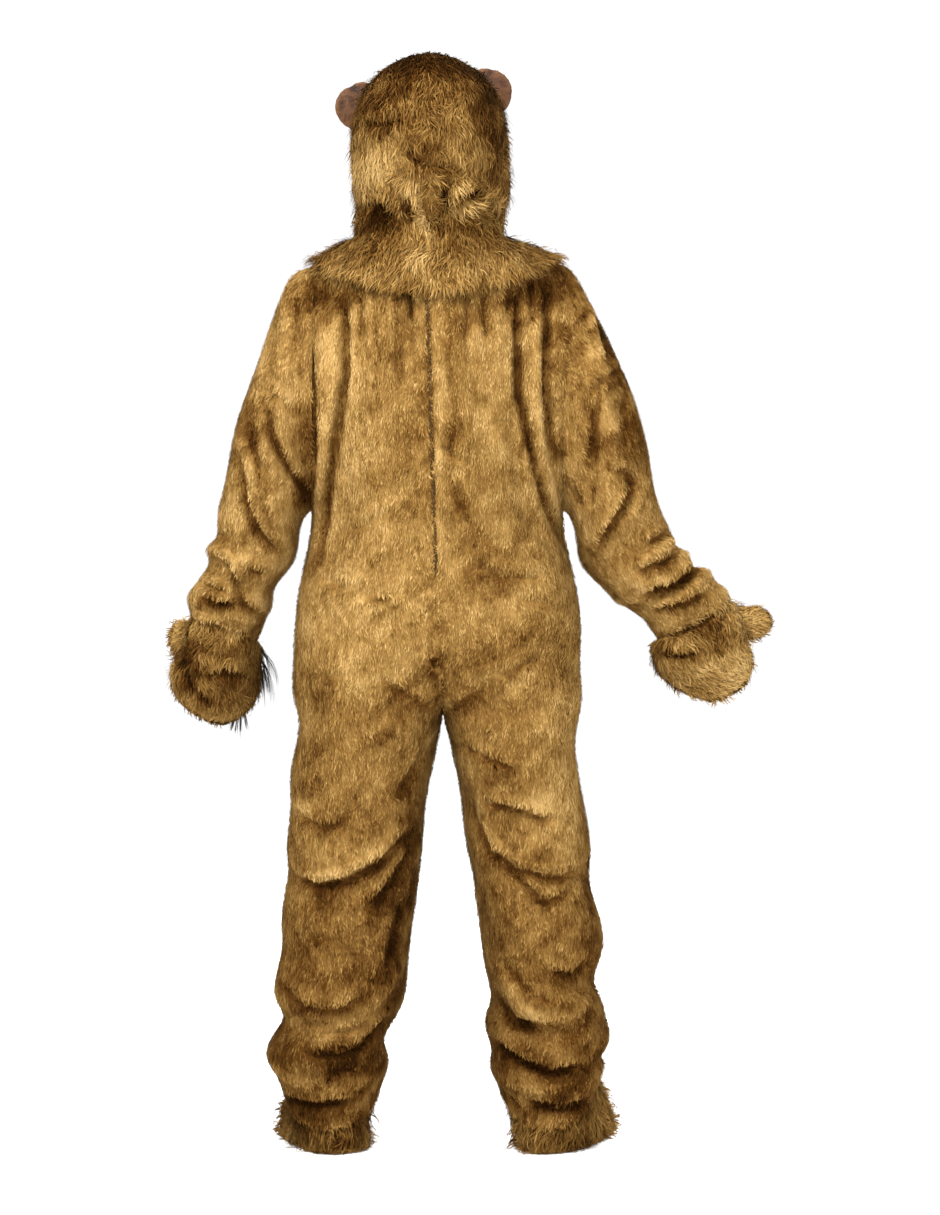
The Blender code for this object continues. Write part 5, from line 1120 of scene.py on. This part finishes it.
# What pieces share, in the order of their fields: wall, pile, fur and nap, then folds, slot and flat size.
SUIT = (SUIT_WALL, SUIT_PILE, SUIT_FUR)
MITTEN = (MITTEN_WALL, MITTEN_PILE, MITTEN_FUR)
LONG = (LONG_PILE_WALL, LONG_PILE)
BODY = (*SUIT, down_body, BACK_FOLDS, FRONT_FOLDS, "plush", "hung", 0.40, 1.50)
SLEEVE = (SLEEVE_FOLDS, SLEEVE_FOLDS, "plush", "hung", 0.52, 0.56, 0.24)
HOOD = (*LONG, HOOD_FUR, over_head, HOOD_FOLDS, NO_FOLDS, "long_plush", "stretched", 0.30, 0.34, 0.095)
CAPE = (*LONG, CAPE_FUR, from_neck, NO_FOLDS, NO_FOLDS, "long_plush", "gathered", 1.10, 0.11, 0.115)
HAND = (MITTEN_FOLDS, NO_FOLDS, "long_plush", "draped", 0.18, 0.22, 0.030)
THUMB = (MITTEN_FOLDS, NO_FOLDS, "long_plush", "draped", 0.11, 0.065, 0.0062)
SHOE_COVER = (*LONG, SHOE_FUR, down_foot, NO_FOLDS, NO_FOLDS, "long_plush", "draped", 0.72, 0.12, 0.07)
PIECES = [
    Plush("back_left", *BODY, 0.47),
    Plush("back_right", *BODY, 0.47),
    Plush("front_left", *BODY, 0.46),
    Plush("front_right", *BODY, 0.46),
    Plush("sleeve_left", *SUIT, DOWN_LEFT_ARM, *SLEEVE),
    Plush("sleeve_right", *SUIT, DOWN_RIGHT_ARM, *SLEEVE),
    Plush("hood_left", *HOOD),
    Plush("hood_right", *HOOD),
    Plush("cape", *CAPE),
    Plush("mitten_back_left", *MITTEN, DOWN_LEFT_HAND, *HAND),
    Plush("mitten_palm_left", *MITTEN, DOWN_LEFT_HAND, *HAND),
    Plush("thumb_left", *MITTEN, ALONG_LEFT_THUMB, *THUMB),
    Plush("mitten_back_right", *MITTEN, DOWN_RIGHT_HAND, *HAND),
    Plush("mitten_palm_right", *MITTEN, DOWN_RIGHT_HAND, *HAND),
    Plush("thumb_right", *MITTEN, ALONG_RIGHT_THUMB, *THUMB),
    Plush("shoe_cover_left", *SHOE_COVER),
    Plush("shoe_cover_right", *SHOE_COVER),
]
COVERED_BY = {
    "hood_left": ("face_mask",),
    "hood_right": ("face_mask",),
    "cape": ("face_mask",),
    "back_left": ("cape",),
    "back_right": ("cape",),
    "front_left": ("cape",),
    "front_right": ("cape",),
    "mitten_back_left": ("sleeve_left",),
    "mitten_palm_left": ("sleeve_left",),
    "mitten_back_right": ("sleeve_right",),
    "mitten_palm_right": ("sleeve_right",),
    "shoe_cover_left": ("back_left", "front_left"),
    "shoe_cover_right": ("back_right", "front_right"),
}


# How much darker the cloth under the locks is painted: painted shade down among the locks.
BASE_PAINTED_SHADE = 0.06
SEAM_ALLOWANCE = 0.0050


def tree_of(mesh):
    return BVHTree.FromPolygons(points_of(mesh).tolist(), triangles_of(mesh).tolist())


def with_allowance(mesh):
    """The skin let out along its cut edges, so that neighbouring pieces meet under their pile."""
    shape = bmesh.new()
    shape.from_mesh(mesh)
    moves = {}
    for edge in shape.edges:
        if edge.is_boundary:
            face = edge.link_faces[0]
            run = (edge.verts[1].co - edge.verts[0].co).normalized()
            out = (edge.verts[0].co + edge.verts[1].co) / 2 - face.calc_center_median()
            out = out - run * out.dot(run)
            for vert in edge.verts:
                moves[vert] = moves.get(vert, Vector()) + out.normalized()
    for vert, move in moves.items():
        vert.co += SEAM_ALLOWANCE * move.normalized()
        vert.co.z = max(vert.co.z, FLOOR_Z + CLEAR_OF_FLOOR)
    shape.to_mesh(mesh)
    shape.free()
    mesh.update()
    return mesh


SHOULDER_TIP = np.array([0.2040, 0.0, -0.012])
TIP_REACH = np.array([0.024, 0.0095, 0.030])
SHOULDER_RISE = 0.0105


def with_full_top(mesh):
    """The sleeve's skin lifted at the top of its head, where it meets the ridge of the shoulder seam."""
    points = points_of(mesh)
    sides = np.column_stack([np.abs(points[:, 0]), points[:, 1:]])
    points[:, 2] += SHOULDER_RISE * np.exp(-np.sum(((sides - SHOULDER_TIP) / TIP_REACH) ** 2, axis=1))
    set_points(mesh, points)
    return mesh


def make_plush():
    """Each plush piece: its pile grown on the skin, and the folded cloth beneath it."""
    ears = [tree_of(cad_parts[name].data) for name in ("ear_left", "ear_right")]
    skins = {}
    for piece in PIECES:
        skin = evaluated(mesh_of(outer_skin(piece.node, piece.wall)), smoothed(SKIN_LEVELS))
        if piece.node.startswith("sleeve"):
            skin = with_full_top(skin)
        skins[piece.node] = with_allowance(skin)
    trees = {node: tree_of(skin) for node, skin in skins.items()}
    trees["face_mask"] = tree_of(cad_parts["face_mask"].data)
    for seed, piece in enumerate(PIECES):
        mesh = skins[piece.node]
        covers = [trees[name] for name in COVERED_BY.get(piece.node, ())]
        fur = grow_fur(piece, mesh, covers, ears if piece.node.startswith("hood") else (), seed)
        points, normals = points_of(mesh), normals_of(mesh)
        rise = folded(points, normals, piece.behind, piece.ahead)
        points = points + (rise - piece.pile)[:, None] * normals
        points[:, 2] = np.maximum(points[:, 2], FLOOR_Z + CLEAR_OF_FLOOR)
        set_points(mesh, points)
        # The cloth painted darker than the locks above it, as painted shade down among them.
        set_attribute(mesh, "tone", np.clip(tone_at(points, normals, rise) - BASE_PAINTED_SHADE, *TONE_LIMITS))
        mesh.materials.clear()
        mesh.materials.append(FINISH["plush"])
        mesh.materials.append(FINISH["backing"])
        cloth = add_piece(piece.node + "_plush", evaluated(mesh, thickened(CLOTH_THICK)), "plush", "backing")
        cloth.data.shade_smooth()
        for made in (cloth, fur):
            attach(made, "root")
        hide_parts(piece.node)


# Moulded latex: the mask, the ears and the nose.


def moulded(node, levels):
    """A node's own wall, smoothed, with its normals."""
    shape = bmesh.new()
    shape.from_mesh(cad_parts[node].data)
    bmesh.ops.remove_doubles(shape, verts=shape.verts, dist=SAME_POINT)
    bmesh.ops.join_triangles(
        shape, faces=shape.faces, angle_face_threshold=0.6, angle_shape_threshold=math.pi
    )
    return evaluated(mesh_of(shape), smoothed(levels))


def add_latex(name, node, mesh, relief, height):
    points, normals = points_of(mesh), normals_of(mesh)
    set_points(mesh, points + (height * relief)[:, None] * normals)
    # The relief also colours the latex: painted shade in its hollows.
    set_attribute(mesh, "relief", np.clip(0.5 + 0.32 * relief, 0.0, 1.0))
    mesh.shade_smooth()
    made = add_piece(name, mesh, "latex")
    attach(made, "root")
    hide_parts(node)


def wrinkled(points, stretch, scale, seed):
    """Ridged noise at each point: sharp valleys between rounded ridges."""
    moved = points * stretch * scale + seed
    return np.array([1.0 - 2.0 * abs(noise.noise(Vector(p))) for p in moved])


EYES = ((0.046, 0.205), (-0.020, 0.205))
EYE_HALF_WIDE, EYE_HALF_HIGH = 0.030, 0.022
MASK_RELIEF, EAR_RELIEF = 0.0011, 0.0016


def make_mask():
    mesh = moulded("face_mask", 2)
    points = points_of(mesh)
    furrows = wrinkled(points, (1.0, 0.6, 2.4), 26.0, 3.7)
    pits = wrinkled(points, (1.0, 1.0, 1.0), 75.0, 9.1)
    relief = 0.65 * furrows + 0.35 * pits
    around_eye = np.minimum(
        *(np.hypot((points[:, 0] - x) / EYE_HALF_WIDE, (points[:, 2] - z) / EYE_HALF_HIGH) for x, z in EYES)
    )
    # A sunken ring round each eye hole, painted darker too as shade in the hollow.
    relief -= 1.1 * np.exp(-((around_eye - 0.9) ** 2) / 0.06)
    add_latex("moulded_mask", "face_mask", mesh, np.clip(relief, -1.0, 1.0), MASK_RELIEF)


# Each ear's node, the middle of its shell and its lean.
EARS = (("ear_left", (0.118, 0.262), 0.0), ("ear_right", (-0.080, 0.286), 0.35))
EAR_WIDE, EAR_HIGH = 0.052, 0.042
ROOT_REACH = 0.012


def make_ears():
    hoods = [tree_of(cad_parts[name].data) for name in ("hood_left", "hood_right")]
    for node, centre, lean in EARS:
        mesh = moulded(node, 3)
        points = points_of(mesh)
        side = LEFT if node == "ear_left" else RIGHT
        away_x, away_z = (points[:, 0] - centre[0]) * side, points[:, 2] - centre[1]
        out = away_x * math.cos(lean) + away_z * math.sin(lean)
        up = away_z * math.cos(lean) - away_x * math.sin(lean)
        turn = np.arctan2(up, np.maximum(out, 1e-4) + 0.012)
        far = np.hypot(out / EAR_WIDE, up / EAR_HIGH)
        lines = np.sin(turn * 34.0 + 2.2 * np.sin(far * 9.0)) * np.clip(far * 1.4 - 0.2, 0.0, 1.0)
        crumple = wrinkled(points, (1.0, 1.0, 1.0), 60.0, 5.0 + side)
        rim = np.exp(-(((far - 1.0) / 0.14) ** 2))
        notch = np.exp(-(((turn - 0.75) / 0.10) ** 2)) * np.clip(far, 0.0, 1.0)
        # The notch and crumples sink and take painted shade, the rim stands and is painted lighter.
        relief = 0.10 * lines + 0.60 * crumple + 0.5 * rim - 1.3 * notch - 0.15
        # The root reaches down through the hood's pile to its cloth.
        for index, point in enumerate(points):
            found = [hood.find_nearest(Vector(point)) for hood in hoods]
            _, inward, _, away = min(found, key=lambda near: near[3])
            points[index] -= LONG_PILE * max(0.0, 1.0 - away / ROOT_REACH) * np.array(inward)
        set_points(mesh, points)
        add_latex("moulded_" + node, node, mesh, np.clip(relief, -1.2, 1.0), EAR_RELIEF)


NOSTRIL_DEPTH, GROOVE_DEPTH = 0.0036, 0.0012


def make_nose():
    mesh = moulded("nose", 2)
    points, normals = points_of(mesh), normals_of(mesh)
    low, high = points.min(axis=0), points.max(axis=0)
    middle, half = (low + high) / 2, (high - low) / 2
    place = (points - middle) / half
    nostril = np.zeros(len(points))
    for side in (LEFT, RIGHT):
        nostril += np.exp(-(((place[:, 0] - 0.42 * side) / 0.20) ** 2 + ((place[:, 2] + 0.30) / 0.18) ** 2))
    groove = np.exp(-((place[:, 0] / 0.06) ** 2)) * np.clip(0.3 - place[:, 2], 0.0, 1.0)
    facing = np.clip(-normals[:, 1], 0.0, 1.0)
    depth = -(NOSTRIL_DEPTH * nostril + GROOVE_DEPTH * groove) * facing
    set_points(mesh, points + depth[:, None] * normals)
    mesh.shade_smooth()
    made = add_piece("moulded_nose", mesh, "nose")
    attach(made, "root")
    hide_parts("nose")


# The zip.

TOOTH_PITCH = 0.0028
TOOTH_SIZE = np.array([0.0022, 0.0011, 0.0013])
TOOTH_ASIDE, TOOTH_PROUD = 0.0008, 0.0009
TAPE_END = 0.004
TRACK_ROWS, TRACK_REACH = 24, 0.022


def make_zip():
    """A woven tape in the seam's slot, with two rows of teeth that mesh down its middle."""
    shape = bmesh.new()
    shape.from_mesh(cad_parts["zip_strip"].data)
    bmesh.ops.remove_doubles(shape, verts=shape.verts, dist=SAME_POINT)
    tape = evaluated(mesh_of(shape), smoothed(0))
    tape_piece = add_piece("zip_tape", tape, "tape")
    points = points_of(tape)
    heights = points[:, 2]
    top, bottom = heights.max(), heights.min()
    rows = np.linspace(top - TAPE_END, bottom + TAPE_END, TRACK_ROWS)
    track = []
    for z in rows:
        near = np.exp(-(((heights - z) / TRACK_REACH) ** 2))
        front = points[:, 1] >= np.average(points[:, 1], weights=near + 1e-9) - 0.0001
        weights = near * front + 1e-9
        track.append([np.average(points[:, 0], weights=weights), np.average(points[:, 1], weights=weights), z])
    track = np.array(track)
    count = int((top - bottom) / TOOTH_PITCH)
    box = bmesh.new()
    bmesh.ops.create_cube(box, size=1.0)
    bmesh.ops.bevel(
        box, geom=box.edges[:], offset=0.18, segments=1, profile=0.5, affect="EDGES", material=-1
    )
    bmesh.ops.triangulate(box, faces=box.faces)
    tooth = mesh_of(box)
    shape_points, shape_faces = points_of(tooth) * TOOTH_SIZE, triangles_of(tooth)
    all_points, all_faces = [], []
    for index in range(2 * count):
        side = LEFT if index % 2 else RIGHT
        z = mix(top - TAPE_END, bottom + TAPE_END, index / (2 * count - 1))
        x = np.interp(-z, -track[:, 2], track[:, 0])
        y = np.interp(-z, -track[:, 2], track[:, 1])
        all_faces.append(shape_faces + len(shape_points) * index)
        all_points.append(shape_points + [x + side * TOOTH_ASIDE, y + TOOTH_PROUD, z])
    rows_of_teeth = triangle_mesh(np.concatenate(all_points), np.concatenate(all_faces))
    teeth = add_piece("zip_teeth", rows_of_teeth, "teeth")
    for made in (tape_piece, teeth):
        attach(made, "root")
    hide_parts("zip_strip")


# The tufts of long black hair on the left mitten.

Tuft = namedtuple("Tuft", "node x y z run_x run_z wisps strands seed")
Wisp = namedtuple("Wisp", "place reach droop")
TUFTS = [
    Tuft(
        "tuft_side", 0.3010, -0.070, -0.642, 0.0, -0.046,
        (
            Wisp(0.05, -0.020, 0.052), Wisp(0.20, -0.031, 0.058), Wisp(0.35, -0.014, 0.072),
            Wisp(0.50, -0.024, 0.076), Wisp(0.65, -0.010, 0.074), Wisp(0.80, -0.019, 0.056),
            Wisp(0.95, -0.008, 0.046),
        ),
        11, 61,
    ),
    Tuft(
        "tuft_tip", 0.3255, -0.082, -0.752, 0.020, -0.010,
        (Wisp(0.10, -0.006, 0.030), Wisp(0.40, 0.000, 0.040), Wisp(0.65, 0.004, 0.034), Wisp(0.90, 0.008, 0.026)),
        13, 62,
    ),
]
STRAND_STEPS = 6
STRAND_HALF = 0.0006
ROOT_SPREAD, DEPTH_SPREAD, REACH_SPREAD = 0.07, 0.0015, 0.0010
STRAND_SHARES = (0.65, 1.05)


def strand(start, reach, deep, droop, upright):
    """The points along one hair: out and over from upright roots, or straight down from level ones."""
    share = np.linspace(0.0, 1.0, STRAND_STEPS + 1)
    turn = 0.5 * math.pi * share
    across, fall = (np.sin(turn), 1.0 - np.cos(turn)) if upright else (share, share)
    return start + np.stack([reach * across, deep * share, -droop * fall], axis=1)


def make_tuft(tuft):
    rng = np.random.default_rng(tuft.seed)
    upright = abs(tuft.run_z) > abs(tuft.run_x)
    row_start, row = np.array([tuft.x, tuft.y, tuft.z]), np.array([tuft.run_x, 0.0, tuft.run_z])
    points, faces = [], []
    for wisp in tuft.wisps:
        for _ in range(tuft.strands):
            root = wisp.place + rng.normal() * ROOT_SPREAD
            start = row_start + np.clip(root, 0.0, 1.0) * row
            start[1] += rng.uniform(-DEPTH_SPREAD, DEPTH_SPREAD)
            share = rng.uniform(*STRAND_SHARES)
            reach = wisp.reach * share + rng.normal() * REACH_SPREAD
            deep = rng.normal() * DEPTH_SPREAD
            line = strand(start, reach, deep, wisp.droop * share, upright)
            run = unit(np.gradient(line, axis=0))
            side = unit(np.cross(run, [0.0, 1.0, 0.0]))
            over = np.cross(run, side)
            first = len(points)
            for step in range(STRAND_STEPS):
                thin = STRAND_HALF * (1.0 - 0.7 * step / STRAND_STEPS)
                for corner in range(3):
                    angle = 2.0 * math.pi * corner / 3
                    around = math.cos(angle) * side[step] + math.sin(angle) * over[step]
                    points.append(line[step] + thin * around)
            points.append(line[-1])
            tip = len(points) - 1
            faces.append((first, first + 1, first + 2))
            for low in range(first, first + 3 * (STRAND_STEPS - 1), 3):
                for a, b in ((0, 1), (1, 2), (2, 0)):
                    faces += [(low + b, low + a, low + 3 + a), (low + b, low + 3 + a, low + 3 + b)]
            last = first + 3 * (STRAND_STEPS - 1)
            faces += [(last + b, last + a, tip) for a, b in ((0, 1), (1, 2), (2, 0))]
    mesh = triangle_mesh(np.array(points), np.array(faces))
    turned = bmesh.new()
    turned.from_mesh(mesh)
    bmesh.ops.recalc_face_normals(turned, faces=turned.faces)
    turned.to_mesh(mesh)
    turned.free()
    made = add_piece("hair_" + tuft.node, mesh, "hair")
    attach(made, "root")
    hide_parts(tuft.node)


# The floor, the lights and the camera.


def studio():
    """A plain pale floor, a pale world, and soft lights above and behind the camera."""
    shape = bmesh.new()
    bmesh.ops.create_grid(shape, x_segments=1, y_segments=1, size=40.0)
    bmesh.ops.translate(shape, verts=shape.verts, vec=(0.0, 0.0, FLOOR_Z - BELOW_SOLES))
    floor = bpy.data.objects.new("floor", mesh_of(shape))
    made, tree, shader = new_material("pale floor", 0.9)
    grain = noise_of(tree, 3.0, 2.0)
    painted(tree, shader, grain, [(0.0, (0.97, 0.97, 0.97)), (1.0, (0.985, 0.985, 0.985))])
    floor.data.materials.append(made)
    bpy.context.scene.collection.objects.link(floor)
    bpy.context.scene.view_settings.view_transform = "Standard"
    world = bpy.data.worlds.new("studio")
    world.use_nodes = True
    world.node_tree.nodes["Background"].inputs["Color"].default_value = (1.0, 1.0, 1.0, 1.0)
    world.node_tree.nodes["Background"].inputs["Strength"].default_value = WORLD_STRENGTH
    bpy.context.scene.world = world
    for light in LIGHTS:
        lamp = bpy.data.lights.new(light.name, "AREA")
        lamp.shape = "RECTANGLE"
        lamp.size, lamp.size_y = light.width, light.height
        lamp.energy = light.energy
        lamp.color = light.colour
        holder = bpy.data.objects.new(light.name, lamp)
        holder.location = light.place
        aim = Vector(light.aim) - Vector(light.place)
        holder.rotation_euler = aim.to_track_quat("-Z", "Y").to_euler()
        bpy.context.scene.collection.objects.link(holder)


Light = namedtuple("Light", "name place aim width height energy colour")
LIGHTS = [
    Light("key", (1.5, 2.5, 2.1), (0.0, 0.0, -0.4), 1.1, 0.9, 230.0, (1.0, 0.98, 0.95)),
    Light("fill", (-2.2, 2.2, 1.0), (0.0, 0.0, -0.5), 1.2, 1.2, 70.0, (1.0, 0.99, 0.97)),
    Light("front", (-1.2, -3.0, 2.0), (0.0, 0.0, -0.4), 1.4, 1.1, 220.0, (1.0, 0.98, 0.95)),
    Light("top", (0.0, 0.3, 2.6), (0.0, 0.0, 0.0), 1.2, 1.2, 35.0, (1.0, 1.0, 1.0)),
]
WORLD_STRENGTH = 1.05


def add_camera():
    """The photograph's own view: from behind, level, at half the garment's height."""
    lens = bpy.data.cameras.new("camera")
    lens.sensor_fit = "AUTO"
    lens.lens = lens.sensor_width * CAMERA_DISTANCE / (PHOTO_HEIGHT * PHOTO_SCALE)
    made = bpy.data.objects.new("camera", lens)
    made.location = (CENTRE_X, CAMERA_DISTANCE, CENTRE_Z)
    made.rotation_euler = (math.pi / 2.0, 0.0, math.pi)
    bpy.context.scene.collection.objects.link(made)
    bpy.context.scene.camera = made


add_camera()
studio()
make_plush()
make_mask()
make_ears()
make_nose()
make_zip()
for one_tuft in TUFTS:
    make_tuft(one_tuft)
